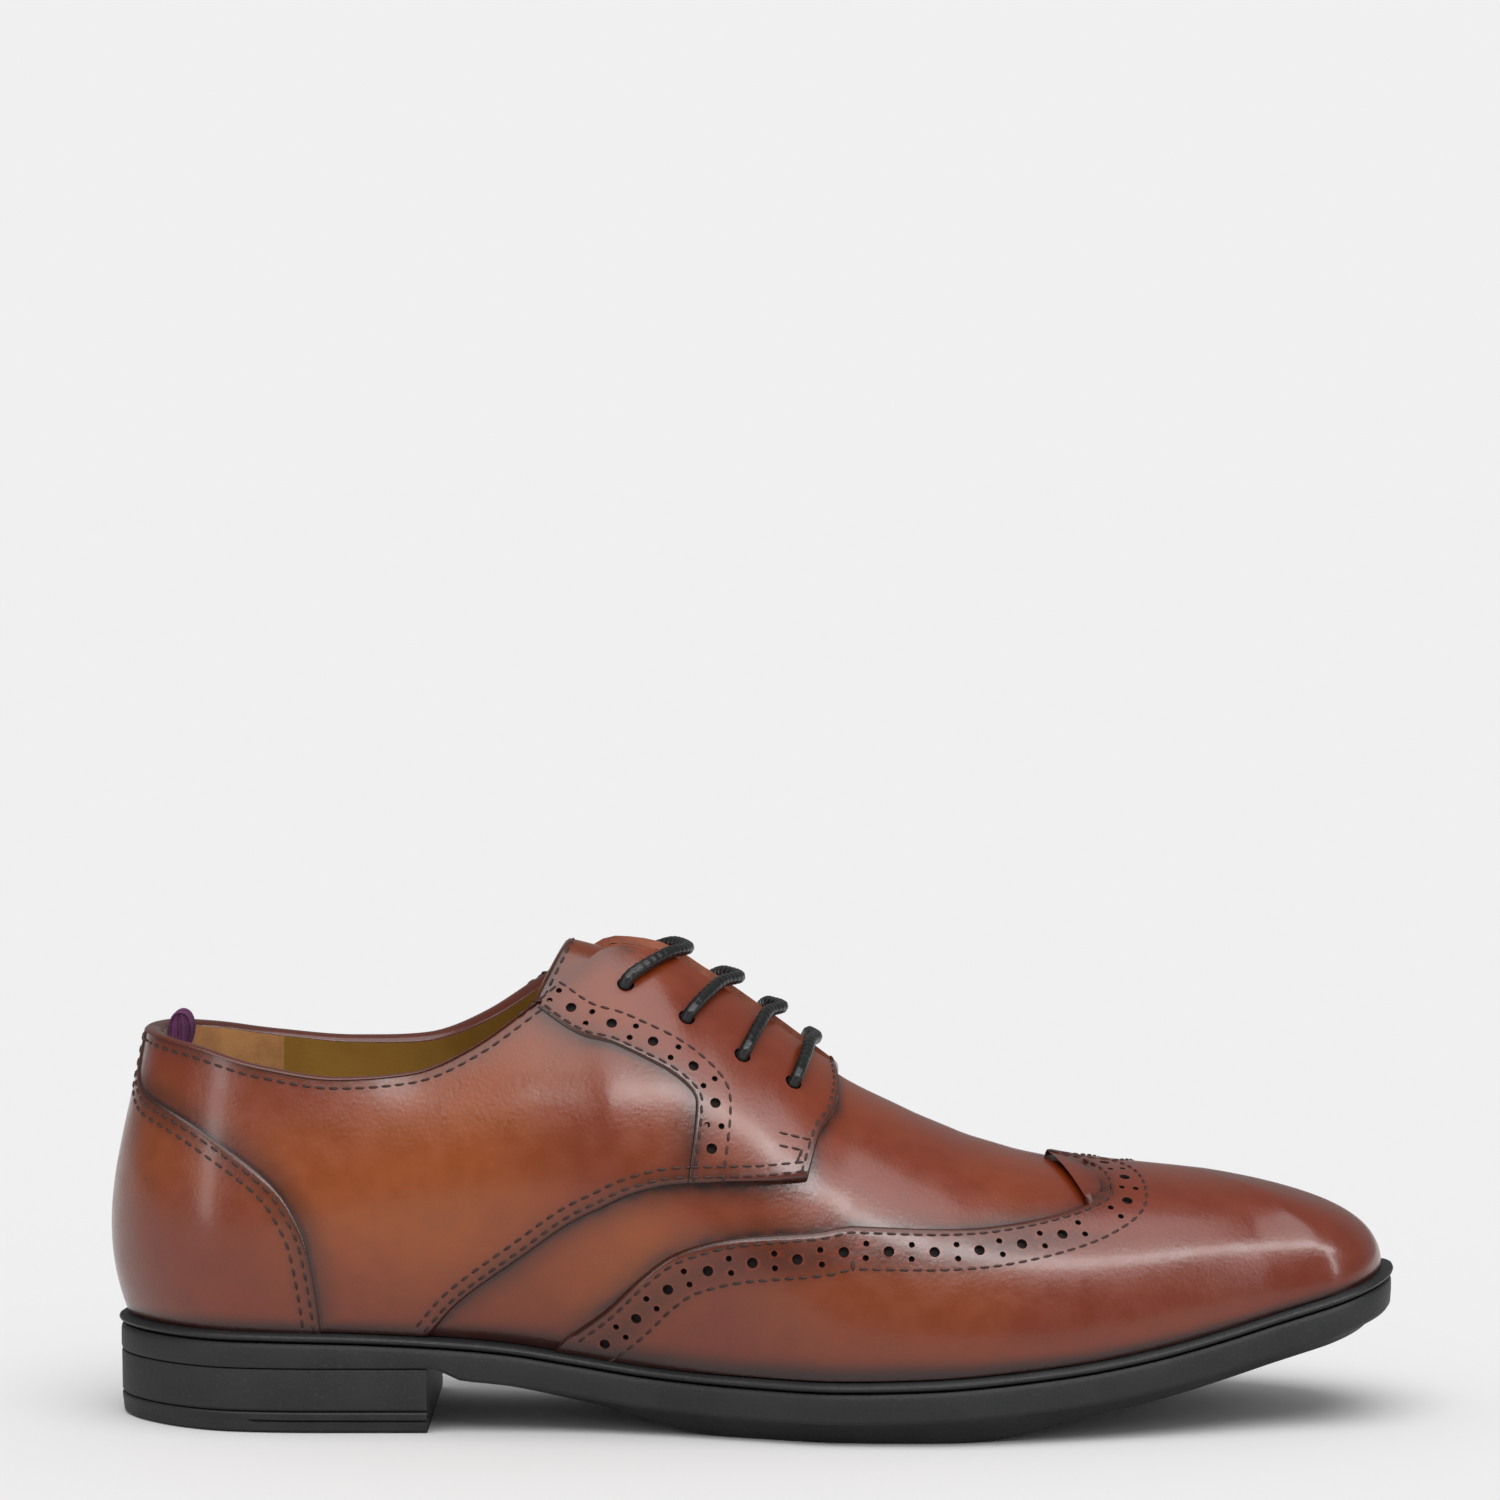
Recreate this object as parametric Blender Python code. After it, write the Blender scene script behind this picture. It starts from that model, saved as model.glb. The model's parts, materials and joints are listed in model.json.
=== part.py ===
"""Brogue shoe, right foot, UK 9: an open-laced wing-tip shoe standing on its sole.

Frame: metres, +X to the toe, -Y to the outer side of the foot, +Z up.
The floor is z = 0 and the origin is the middle of the shoe's box on the floor.
"""
import bpy
import bmesh
import numpy as np

# Driving sizes, each set by itself
LENGTH = 0.312            # outsole, heel to toe
BALL_WIDTH = 0.103        # outsole across the ball
HEEL_HEIGHT = 0.0155      # floor to the top of the heel block
INSTEP_HEIGHT = 0.1145    # floor to the top corner of the facings
UPPER_WALL = 0.0022       # upper leather with its lining
OVERLAY = 0.0012          # quarters, wing cap
COUNTER_OVERLAY = 0.0016  # heel counter and facings, a little prouder
OVERLAY_LIFT = 0.00080    # air between the upper and an overlay
SOLE_EDGE = 0.0075        # outsole thickness at its edge
WELT_THICK = 0.0022
TREAD_DEPTH = 0.0048      # ball of the sole below the outsole's edge
TREAD_INSET = 0.0060
LIFT_THICK = 0.0052       # rubber top lift under the heel block
HEEL_LENGTH = 0.0770      # heel back to the breast
BREAST_STEP = 0.0010      # the outsole's waist starts this far ahead of the heel block
INSOLE_THICK = 0.0025
INSOLE_CLEAR = 0.0060      # air between the insole's edge and the upper's inner face
WELT_REACH = 0.0115        # how far in from the sole's edge the welt runs
EDGE_ROUND = 0.0004        # rounding of the sole's and the welt's edges
LIFT_ROUND = 0.0010        # rounding of the top lift's lower edge
TONGUE_THICK = 0.0024
LACE_DIAMETER = 0.0033
GAP = 0.0003              # air between two pieces that meet
LOOP_TAPE = 0.0012
LOOP_WIDTH = 0.0080
LOOP_RISE = 0.0055

# Plan of the outsole: half widths as shares of the ball's half width
PLAN = dict(
    x=(0.00, 0.07, 0.16, 0.25, 0.34, 0.42, 0.49, 0.56, 0.63, 0.70, 0.77, 0.84, 0.91, 0.96, 1.00),
    lateral=(0.50, 0.60, 0.66, 0.66, 0.67, 0.74, 0.87, 0.99, 1.01, 0.95, 0.84, 0.70, 0.54, 0.44, 0.38),
    medial=(0.50, 0.60, 0.64, 0.58, 0.50, 0.52, 0.66, 0.86, 1.00, 1.03, 0.97, 0.86, 0.72, 0.61, 0.54),
)
HEEL_ROUND = 0.105        # share of the length that the heel's curve takes
TOE_ROUND = 0.062         # share of the length that the toe's curve takes

# Side view of the sole edge: heights in shares of the instep height
EDGE = dict(
    x=(0.00, 0.16, 0.25, 0.31, 0.36, 0.42, 0.48, 0.55, 0.62, 0.70, 0.77, 0.83, 0.91, 0.97, 1.00),
    feather=(0.214, 0.210, 0.200, 0.186, 0.165, 0.143, 0.134, 0.131, 0.135, 0.148, 0.168, 0.197, 0.250,
             0.295, 0.315),
    drop=(0.0, 0.0, 0.05, 0.15, 0.30, 0.60, 0.95, 1.0, 1.0, 0.85, 0.70, 0.60, 0.50, 0.45, 0.40),
)
FLAT_FROM = 0.50          # the tread is flat on the floor between these shares of the length
FLAT_TO = 0.64

# The upper, a row for each section from the heel seam (foot 0) to the toe (foot 1).
# foot, top, aim: shares of the length. rise: share of the instep height, with inner_rise more on the
# inner side of the foot. spread: share of the
# ball's half width. lean and roll: degrees from upright at the feather and at the top edge.
# low and high: lengths of the section's two handles as shares of its straight length.
SECTION_COLUMNS = ("foot", "top", "aim", "rise", "inner_rise", "spread", "lean", "roll", "low", "high")
SECTIONS = (
    (0.000, 0.019, 0.12, 0.818, 0.000, 0.00, 24.0, 10.0, 0.36, 0.40),
    (0.030, 0.030, 0.12, 0.812, 0.008, 0.22, 23.0, 12.0, 0.37, 0.40),
    (0.075, 0.066, 0.14, 0.792, 0.016, 0.38, 21.0, 13.0, 0.38, 0.40),
    (0.140, 0.120, 0.17, 0.757, 0.028, 0.49, 18.0, 14.0, 0.40, 0.40),
    (0.200, 0.180, 0.22, 0.735, 0.035, 0.53, 16.0, 18.0, 0.42, 0.40),
    (0.255, 0.235, 0.27, 0.745, 0.029, 0.53, 16.0, 24.0, 0.42, 0.40),
    (0.305, 0.285, 0.31, 0.800, 0.024, 0.50, 17.0, 30.0, 0.42, 0.40),
    (0.350, 0.330, 0.35, 0.885, 0.020, 0.42, 19.0, 36.0, 0.42, 0.40),
    (0.385, 0.362, 0.38, 0.950, 0.008, 0.31, 20.0, 44.0, 0.40, 0.42),
    (0.410, 0.388, 0.41, 0.991, 0.003, 0.205, 20.0, 51.0, 0.38, 0.44),
    (0.430, 0.418, 0.43, 0.982, 0.003, 0.160, 18.0, 56.5, 0.37, 0.44),
    (0.460, 0.458, 0.46, 0.920, 0.003, 0.142, 14.5, 63.5, 0.355, 0.43),
    (0.510, 0.510, 0.51, 0.822, 0.003, 0.130, 10.0, 71.0, 0.34, 0.42),
    (0.545, 0.545, 0.55, 0.753, 0.002, 0.095, 9.0, 79.0, 0.34, 0.42),
    (0.572, 0.572, 0.57, 0.706, 0.000, 0.000, 8.0, 88.0, 0.34, 0.43),
    (0.610, 0.610, 0.61, 0.655, 0.000, 0.000, 8.0, 89.0, 0.34, 0.45),
    (0.670, 0.670, 0.67, 0.585, 0.000, 0.000, 9.0, 90.0, 0.34, 0.48),
    (0.740, 0.740, 0.74, 0.535, 0.000, 0.000, 9.0, 90.0, 0.34, 0.50),
    (0.820, 0.820, 0.82, 0.507, 0.000, 0.000, 8.0, 90.0, 0.34, 0.54),
    (0.870, 0.845, 0.845, 0.500, 0.000, 0.000, 6.0, 88.0, 0.34, 0.56),
    (0.940, 0.845, 0.845, 0.500, 0.000, 0.000, 5.0, 84.0, 0.30, 0.56),
    (1.000, 0.845, 0.845, 0.500, 0.000, 0.000, 4.0, 81.0, 0.24, 0.56),
)
THROAT_FOOT = 0.572       # the sections ahead of this one close over the foot
POLE_FOOT = 0.870         # the sections ahead of this one all end at one point above the toe
TOE_SWING = 0.10          # toe's middle line, as a share of the ball's half width
FEATHER_INSET = dict(x=(0.0, 0.2, 0.4, 0.6, 0.8, 1.0), inset=(0.0020, 0.0022, 0.0030, 0.0036, 0.0040, 0.0042))

# Panel edges on the upper, as (foot share of the section, height along the section)
COUNTER_EDGE = ((0.166, 0.0), (0.165, 0.31), (0.158, 0.47), (0.144, 0.59), (0.109, 0.70), (0.061, 0.78),
                (0.025, 0.83), (0.006, 0.90), (0.003, 1.0))
QUARTER_LOWER = ((0.248, 0.0), (0.276, 0.13), (0.317, 0.25), (0.368, 0.36), (0.407, 0.40), (0.446, 0.44))
COUNTER_ROWS = (0.022, 0.15, 0.29, 0.42, 0.53, 0.61, 0.67, 0.715, 0.75, 0.78, 0.805, 0.83, 0.87, 0.93, 1.0)
FACING_ROWS = (0.44, 0.50, 0.56, 0.62, 0.66, 0.72, 0.81, 1.0)
FACING_REAR = ((0.446, 0.44), (0.452, 0.64), (0.423, 0.72), (0.390, 0.81), (0.348, 1.0))
FACING_FRONT = ((0.537, 0.53), (0.548, 0.68), (0.557, 0.75), (0.561, 0.86), (0.560, 0.94), (0.558, 1.0))
WING_FEATHER = (0.345, 0.375, 0.410, 0.450, 0.500, 0.560, 0.620, 0.670, 0.710, 0.740, 0.765, 0.790, 0.810,
                0.840, 0.870, 0.920, 0.960, 0.985, 0.996, 1.0)
WING_EDGE = ((0.358, 0.05), (0.379, 0.11), (0.412, 0.21), (0.441, 0.28), (0.485, 0.345), (0.550, 0.405),
             (0.647, 0.455), (0.712, 0.55), (0.756, 0.65), (0.769, 0.73), (0.765, 0.84), (0.748, 0.95),
             (0.726, 1.0), (0.800, 1.0), (0.870, 1.0), (0.920, 1.0), (0.960, 1.0), (0.985, 1.0),
             (0.996, 1.0), (1.0, 1.0))
WING_PEAK = 12            # the row of both lists where the wing's edge reaches the ridge
EYELETS = ((0.416, 0.93), (0.450, 0.89), (0.488, 0.88), (0.535, 0.90))
PANEL_FOOT = 0.022        # overlays start this far up the section, clear of the welt
PANEL_GAP = 0.0010        # between two overlays whose edges meet

# The tongue, a row for each cross section from the vamp to the crest.
# place: share of the length. rise, drop: shares of the instep height at its middle, and how far its
# edges fall. half: share of the ball's half width. sweep: share of the length its edges lie behind.
TONGUE_COLUMNS = ("place", "rise", "half", "drop", "sweep")
TONGUE = (
    (0.612, 0.608, 0.28, 0.050, 0.000),
    (0.590, 0.632, 0.30, 0.060, 0.000),
    (0.570, 0.662, 0.31, 0.070, 0.000),
    (0.550, 0.698, 0.32, 0.080, 0.000),
    (0.510, 0.782, 0.33, 0.100, 0.000),
    (0.460, 0.878, 0.34, 0.120, 0.000),
    (0.420, 0.946, 0.34, 0.135, -0.004),
    (0.390, 0.974, 0.34, 0.140, -0.014),
    (0.368, 0.992, 0.33, 0.138, -0.022),
    (0.350, 1.004, 0.32, 0.130, -0.026),
)
TONGUE_FALL = 2.2         # power of the fall towards the tongue's edges

STATIONS = 38             # sections of the upper
SOLE_STATIONS = 33        # sections of the sole, the welt and the insole
ROWS = 9                  # steps up each section


def smooth(x, xs, ys, level_ends=False):
    """Smooth curve through the points xs, ys that never overshoots them, level at its ends on request."""
    xs = np.asarray(xs, float)
    ys = np.asarray(ys, float)
    x = np.clip(x, xs[0], xs[-1])
    step = np.diff(xs)
    slope = np.diff(ys) / step
    tangent = np.zeros_like(ys)
    same = slope[:-1] * slope[1:] > 0
    left = slope[:-1][same]
    right = slope[1:][same]
    tangent[1:-1][same] = 3 * left * right / (left + right + np.minimum(np.abs(left), np.abs(right)) * np.sign(left))
    if not level_ends:
        tangent[0] = slope[0]
        tangent[-1] = slope[-1]
    i = np.clip(np.searchsorted(xs, x, side="right") - 1, 0, len(step) - 1)
    u = (x - xs[i]) / step[i]
    return ((2 * u ** 3 - 3 * u ** 2 + 1) * ys[i] + (u ** 3 - 2 * u ** 2 + u) * step[i] * tangent[i]
            + (3 * u ** 2 - 2 * u ** 3) * ys[i + 1] + (u ** 3 - u ** 2) * step[i] * tangent[i + 1])


def foot_share(s):
    """Place along the sole for the station s: closer together at both ends."""
    return (1 - np.cos(np.pi * s)) / 2


def station(share):
    """Station whose place along the sole is the given share."""
    return np.arccos(1 - 2 * np.asarray(share, float)) / np.pi


def unit(v):
    return v / np.maximum(np.linalg.norm(v, axis=-1, keepdims=True), 1e-12)


def middle_line(share):
    """Sideways place of the sole's middle: straight at the heel, swung in at the toe."""
    return TOE_SWING * BALL_WIDTH / 2 * np.clip((share - 0.55) / 0.45, 0, 1) ** 1.5


def outline(side, s, inset=0.0):
    """Plan of the sole edge at station s, moved inwards by inset: x and y."""
    def point(q):
        share = foot_share(q)
        width = np.where(side < 0, smooth(share, PLAN["x"], PLAN["lateral"]), smooth(share, PLAN["x"], PLAN["medial"]))
        heel = np.clip(share / HEEL_ROUND, 0, 1)
        toe = np.clip((1 - share) / TOE_ROUND, 0, 1)
        ends = np.sqrt(heel * (2 - heel)) * np.sqrt(toe * (2 - toe))
        middle = middle_line(share)
        reach = width * BALL_WIDTH / 2 - side * middle * np.clip((share - 0.9) / 0.1, 0, 1)
        y = side * reach * ends + middle * (1 - ends) * np.where(share > 0.5, 1.0, 0.0)
        return np.stack([share * LENGTH, y], -1)
    e = 1e-3
    here = point(s)
    tangent = unit(point(np.clip(s + e, 0, 1)) - point(np.clip(s - e, 0, 1)))
    normal = np.stack([tangent[..., 1], -tangent[..., 0]], -1) * -np.asarray(side)[..., None]
    at_end = (np.asarray(s) < 1e-9) | (np.asarray(s) > 1 - 1e-9)
    end_normal = np.stack([np.where(np.asarray(s) < 0.5, -1.0, 1.0), np.zeros_like(s)], -1)
    normal = np.where(at_end[..., None], end_normal, normal)
    return here - normal * np.asarray(inset)[..., None]


def feather_height(share):
    return smooth(share, EDGE["x"], EDGE["feather"]) * INSTEP_HEIGHT


def section_value(name, s):
    column = SECTION_COLUMNS.index(name)
    rows = np.array(SECTIONS)
    crosses_over = name in ("spread", "inner_rise")
    return smooth(s, station(rows[:, 0]), rows[:, column], level_ends=not crosses_over)


def skin_point(side, s, t):
    """Point of the upper: at station s, a curve from the feather (t 0) to the top edge (t 1)."""
    share = foot_share(s)
    inset = smooth(share, FEATHER_INSET["x"], FEATHER_INSET["inset"])
    base = outline(side, s, inset)
    foot = np.concatenate([base, (feather_height(base[..., 0] / LENGTH) + GAP)[..., None]], -1)
    top_x = section_value("top", s) * LENGTH
    rise = (section_value("rise", s) + np.where(side < 0, 0.0, section_value("inner_rise", s))) * INSTEP_HEIGHT
    spread = section_value("spread", s) * BALL_WIDTH / 2
    top = np.stack([top_x, side * spread + middle_line(top_x / LENGTH), rise], -1)
    aim_x = section_value("aim", s) * LENGTH
    aim = np.stack([aim_x, middle_line(aim_x / LENGTH)], -1)
    inward = unit(aim - base)
    inward = np.concatenate([inward, np.zeros_like(inward[..., :1])], -1)
    up = np.zeros_like(inward)
    up[..., 2] = 1
    lean = np.radians(section_value("lean", s))[..., None]
    roll = np.radians(section_value("roll", s))[..., None]
    chord = np.linalg.norm(top - foot, axis=-1, keepdims=True)
    low = foot + chord * section_value("low", s)[..., None] * (up * np.cos(lean) - inward * np.sin(lean))
    high = top - chord * section_value("high", s)[..., None] * (up * np.cos(roll) + inward * np.sin(roll))
    t = np.asarray(t)[..., None]
    return foot * (1 - t) ** 3 + 3 * low * t * (1 - t) ** 2 + 3 * high * t ** 2 * (1 - t) + top * t ** 3


def skin_normal(side, s, t):
    """Outward direction of the upper; on the seams it is shared by both sides."""
    def raw(d):
        e = 1e-3
        a = np.clip(s, e, 1 - e)
        b = np.clip(t, 0, 1 - 2 * e)
        along = skin_point(d, a + e, b) - skin_point(d, a - e, b)
        rise = skin_point(d, a, b + e) - skin_point(d, a, b)
        return unit(np.cross(along, rise) * np.asarray(-d)[..., None])
    s = np.where((t > 1 - 1e-6) & (foot_share(s) > POLE_FOOT), station(POLE_FOOT), s)
    own = raw(side)
    shared = (s < 1e-6) | (s > 1 - 1e-6) | ((t > 1 - 1e-6) & (foot_share(s) >= THROAT_FOOT - 1e-6))
    both = unit(raw(-np.ones_like(s)) + raw(np.ones_like(s)))
    return np.where(shared[..., None], both, own)


def skin(side, s, t, lift=0.0):
    side, s, t = np.broadcast_arrays(np.asarray(side, float), np.asarray(s, float), np.asarray(t, float))
    return skin_point(side, s, t) + lift * skin_normal(side, s, t)


def curve_through(points, u):
    """Smooth curve through (foot share, height) points, read at u from 0 to 1: station and height."""
    points = np.asarray(points, float)
    knots = np.linspace(0, 1, len(points))
    share = smooth(u, knots, points[:, 0])
    return station(share), smooth(u, knots, points[:, 1])


def edge_at_height(points, height):
    """Station of a panel edge that only climbs, at the given heights along the section."""
    points = np.asarray(points, float)
    return smooth(height, points[:, 1], station(points[:, 0]))


def finish_mesh(name, bm, colour, roughness):
    """Merge what coincides, drop what has no area, and make one named object with its material."""
    bmesh.ops.remove_doubles(bm, verts=bm.verts, dist=1e-6)
    bmesh.ops.dissolve_degenerate(bm, dist=1e-7, edges=bm.edges)
    bmesh.ops.recalc_face_normals(bm, faces=bm.faces)
    mesh = bpy.data.meshes.new(name)
    bm.to_mesh(mesh)
    bm.free()
    mesh.shade_smooth()
    mesh.set_sharp_from_angle(angle=0.7)
    return add_object(name, mesh, colour, roughness)


def add_object(name, data, colour, roughness):
    material = bpy.data.materials.new(name)
    material.use_nodes = True
    shader = material.node_tree.nodes["Principled BSDF"]
    shader.inputs["Base Color"].default_value = (*colour, 1)
    shader.inputs["Roughness"].default_value = roughness
    shader.inputs["Metallic"].default_value = 0.0
    data.materials.append(material)
    piece = bpy.data.objects.new(name, data)
    bpy.context.scene.collection.objects.link(piece)
    return piece


def add_grid(bm, points):
    """Quads over a grid of points; returns the grid of vertices."""
    verts = [[bm.verts.new(p) for p in row] for row in points]
    for a, b in zip(verts[:-1], verts[1:]):
        for i in range(len(a) - 1):
            bm.faces.new((a[i], a[i + 1], b[i + 1], b[i]))
    return verts


def add_rim(bm, one, two):
    for i in range(len(one) - 1):
        bm.faces.new((one[i], one[i + 1], two[i + 1], two[i]))


def panel(name, side, s, t, lift, thick, colour, roughness):
    """Overlay cut between two larger forms of the upper: a grid of stations s and heights t."""
    bm = bmesh.new()
    outer = add_grid(bm, skin(side, s, t, lift + thick))
    inner = add_grid(bm, skin(side, s, t, lift))
    for rim in (lambda g: g[0], lambda g: g[-1], lambda g: [r[0] for r in g], lambda g: [r[-1] for r in g]):
        add_rim(bm, rim(outer), rim(inner))
    return finish_mesh(name, bm, colour, roughness)


def around(count):
    """Stations along one side, with the throat's own section among them."""
    s = np.linspace(0, 1, count)
    nearest = np.argmin(np.abs(s - station(THROAT_FOOT)))
    s[nearest] = station(THROAT_FOOT)
    return s, nearest


def make_upper():
    """One hollow shell: two sides that share the back seam, the ridge and the toe."""
    bm = bmesh.new()
    s, throat = around(STATIONS)
    t = 1 - (1 - np.linspace(0, 1, ROWS + 1)) ** 1.15
    for side in (-1, 1):
        grid_s, grid_t = np.meshgrid(s, t, indexing="ij")
        outer = add_grid(bm, skin(side, grid_s, grid_t, 0.0))
        inner = add_grid(bm, skin(side, grid_s, grid_t, -UPPER_WALL))
        add_rim(bm, [r[0] for r in outer], [r[0] for r in inner])
        add_rim(bm, [r[-1] for r in outer][:throat + 1], [r[-1] for r in inner][:throat + 1])
    return finish_mesh("upper", bm, (0.27, 0.075, 0.02), 0.35)


def ring(bm, s, inset, height, reach=1.0):
    """Closed ring of the sole's plan: inset from its edge, or drawn in to the middle line by reach."""
    rows = []
    plans = [outline(np.full_like(s, side), s, np.full_like(s, inset)) for side in (-1, 1)]
    middle = np.stack([(plans[0][:, 0] + plans[1][:, 0]) / 2, middle_line(foot_share(s))], -1)
    for plan in plans:
        xy = middle + (plan - middle) * reach
        z = height(xy[:, 0] / LENGTH) if callable(height) else np.full_like(s, height)
        rows.append([bm.verts.new(p) for p in np.column_stack([xy, z])])
    return rows


def stack(name, s, layers, colour, roughness, breast=False):
    """Solid from rings laid one below the other; the first and last lie on the middle line."""
    bm = bmesh.new()
    rings = [ring(bm, s, *layer) for layer in layers]
    for above, below in zip(rings[:-1], rings[1:]):
        for a, b in zip(above, below):
            add_rim(bm, a, b)
    if breast:
        outline_of_face = [r[0][-1] for r in rings] + [r[1][-1] for r in rings[-2:0:-1]]
        bm.faces.new(outline_of_face)
    return finish_mesh(name, bm, colour, roughness)


def sole_top(share):
    return feather_height(share) - WELT_THICK - GAP


def sole_edge(share):
    return sole_top(share) - SOLE_EDGE


def tread(share):
    """Underside of the outsole: bevelled in from its edge, flat on the floor at the ball."""
    deep = sole_edge(share) - TREAD_DEPTH * smooth(share, EDGE["x"], EDGE["drop"])
    return np.where((share > FLAT_FROM) & (share < FLAT_TO), 0.0, np.maximum(deep, 0.0))


def make_sole(s):
    waist_from = station(HEEL_LENGTH / LENGTH)
    heel_s = np.append(s[s < waist_from - 0.01], waist_from)
    waist_s = station((HEEL_LENGTH + BREAST_STEP) / LENGTH)
    s = np.concatenate([heel_s, [waist_s], s[s > waist_s + 0.01]])
    seat = HEEL_HEIGHT + GAP

    def under(height):
        """The outsole's underside, never below the heel block that carries its back."""
        def level(share):
            return np.where(share < (HEEL_LENGTH + BREAST_STEP) / LENGTH + 1e-6, seat, height(share))
        return level
    edge = under(sole_edge)
    stack("outsole", s, [
        (3 * EDGE_ROUND, sole_top, 0.0), (3 * EDGE_ROUND, sole_top, 1.0),
        (EDGE_ROUND, lambda q: sole_top(q) - 2 * EDGE_ROUND, 1.0),
        (1.5 * EDGE_ROUND, lambda q: edge(q) + 1.5 * EDGE_ROUND, 1.0), (5 * EDGE_ROUND, edge, 1.0),
        (TREAD_INSET, under(tread), 1.0),
        (TREAD_INSET, under(tread), 0.0)], (0.03, 0.03, 0.03), 0.55)
    stack("heel_block", heel_s, [
        (2 * EDGE_ROUND, HEEL_HEIGHT, 0.0), (2 * EDGE_ROUND, HEEL_HEIGHT, 1.0),
        (3 * EDGE_ROUND, LIFT_THICK + GAP, 1.0), (3 * EDGE_ROUND, LIFT_THICK + GAP, 0.0)], (0.03, 0.03, 0.03), 0.55, breast=True)
    stack("top_lift", heel_s, [
        (3 * EDGE_ROUND, LIFT_THICK, 0.0), (3 * EDGE_ROUND, LIFT_THICK, 1.0),
        (3.5 * EDGE_ROUND, LIFT_ROUND, 1.0), (3.5 * EDGE_ROUND + LIFT_ROUND, 0.0, 1.0),
        (3.5 * EDGE_ROUND + LIFT_ROUND, 0.0, 0.0)], (0.025, 0.025, 0.025), 0.65, breast=True)


def make_welt(s):
    """Flat ring between the outsole and the upper, its edge standing out past the feather."""
    bm = bmesh.new()
    upper_face = feather_height
    layers = [(WELT_REACH, upper_face), (EDGE_ROUND, upper_face), (0.0, lambda q: upper_face(q) - WELT_THICK / 2),
              (EDGE_ROUND, lambda q: upper_face(q) - WELT_THICK), (WELT_REACH, lambda q: upper_face(q) - WELT_THICK)]
    rings = [ring(bm, s, *layer) for layer in layers]
    for above, below in zip(rings, rings[1:] + rings[:1]):
        for a, b in zip(above, below):
            add_rim(bm, a, b)
    return finish_mesh("welt", bm, (0.028, 0.028, 0.028), 0.6)


def make_insole(s):
    """Sock-covered board inside the upper, on the welt."""
    clear = UPPER_WALL + INSOLE_CLEAR

    def top(share):
        return feather_height(share) + GAP + INSOLE_THICK

    def bottom(share):
        return feather_height(share) + GAP
    return stack("insole", s, [(clear, top, 0.0), (clear, top, 1.0), (clear, bottom, 1.0), (clear, bottom, 0.0)],
                 (0.35, 0.19, 0.06), 0.7)


def tongue_point(u, v, lift=0.0):
    """Middle surface of the tongue: u from the vamp (0) to the crest (1), v across (-1 to 1)."""
    rows = np.array(TONGUE)
    knots = np.linspace(0, 1, len(rows))
    place, rise, half, drop, sweep = (smooth(u, knots, rows[:, TONGUE_COLUMNS.index(c)]) for c in TONGUE_COLUMNS)
    x = (place + sweep * v ** 2) * LENGTH
    y = middle_line(place) + v * half * BALL_WIDTH / 2
    z = (rise - drop * np.abs(v) ** TONGUE_FALL) * INSTEP_HEIGHT + lift
    return np.stack([x, y, z], -1)


def make_tongue():
    bm = bmesh.new()
    u, v = np.meshgrid(np.linspace(0, 1, 16), np.linspace(-1, 1, 9), indexing="ij")
    top = add_grid(bm, tongue_point(u, v, TONGUE_THICK / 2))
    under = add_grid(bm, tongue_point(u, v, -TONGUE_THICK / 2))
    for rim in (lambda g: g[0], lambda g: g[-1], lambda g: [r[0] for r in g], lambda g: [r[-1] for r in g]):
        add_rim(bm, rim(top), rim(under))
    return finish_mesh("tongue", bm, (0.25, 0.07, 0.02), 0.4)


def ruled(rear, front, columns):
    """Grid of stations and heights between a rear and a front edge, each a pair of arrays."""
    across = np.linspace(0, 1, columns)[:, None]
    return tuple(np.asarray(a) * (1 - across) + np.asarray(b) * across for a, b in zip(rear, front))


def make_pair(name, grid, thick, colour):
    """The same panel on the outer and the inner side of the foot."""
    for side, suffix in ((-1, "outer"), (1, "inner")):
        panel(f"{name}_{suffix}", side, *grid, OVERLAY_LIFT, thick, colour, 0.35)


def make_quarters():
    """From the heel counter to the facing; the lower edge sweeps up from the sole to the facing."""
    rear_t = np.array(COUNTER_ROWS)
    rear = edge_at_height(moved_edge(COUNTER_EDGE, PANEL_GAP), rear_t), rear_t
    upper_t = np.array(FACING_ROWS)
    lower_s, lower_t = curve_through(moved_edge(QUARTER_LOWER, -PANEL_GAP), np.linspace(0, 1, 8))
    upper_s = edge_at_height(moved_edge(FACING_REAR, -PANEL_GAP), upper_t)
    front = np.append(lower_s, upper_s[1:]), np.append(np.maximum(lower_t, PANEL_FOOT), upper_t[1:])
    make_pair("quarter", ruled(rear, front, 15), OVERLAY, (0.3, 0.085, 0.02))


def make_facings():
    """The lace stays, a little prouder than the quarters behind them."""
    rear_t = np.array(FACING_ROWS)
    front = curve_through(FACING_FRONT, np.linspace(0, 1, len(rear_t)))
    make_pair("facing", ruled((edge_at_height(FACING_REAR, rear_t), rear_t), front, 12), COUNTER_OVERLAY,
              (0.24, 0.065, 0.02))


def moved_edge(edge, distance):
    """The same panel edge, further along the shoe by a distance."""
    return tuple((share + distance / LENGTH, height) for share, height in edge)


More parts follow.
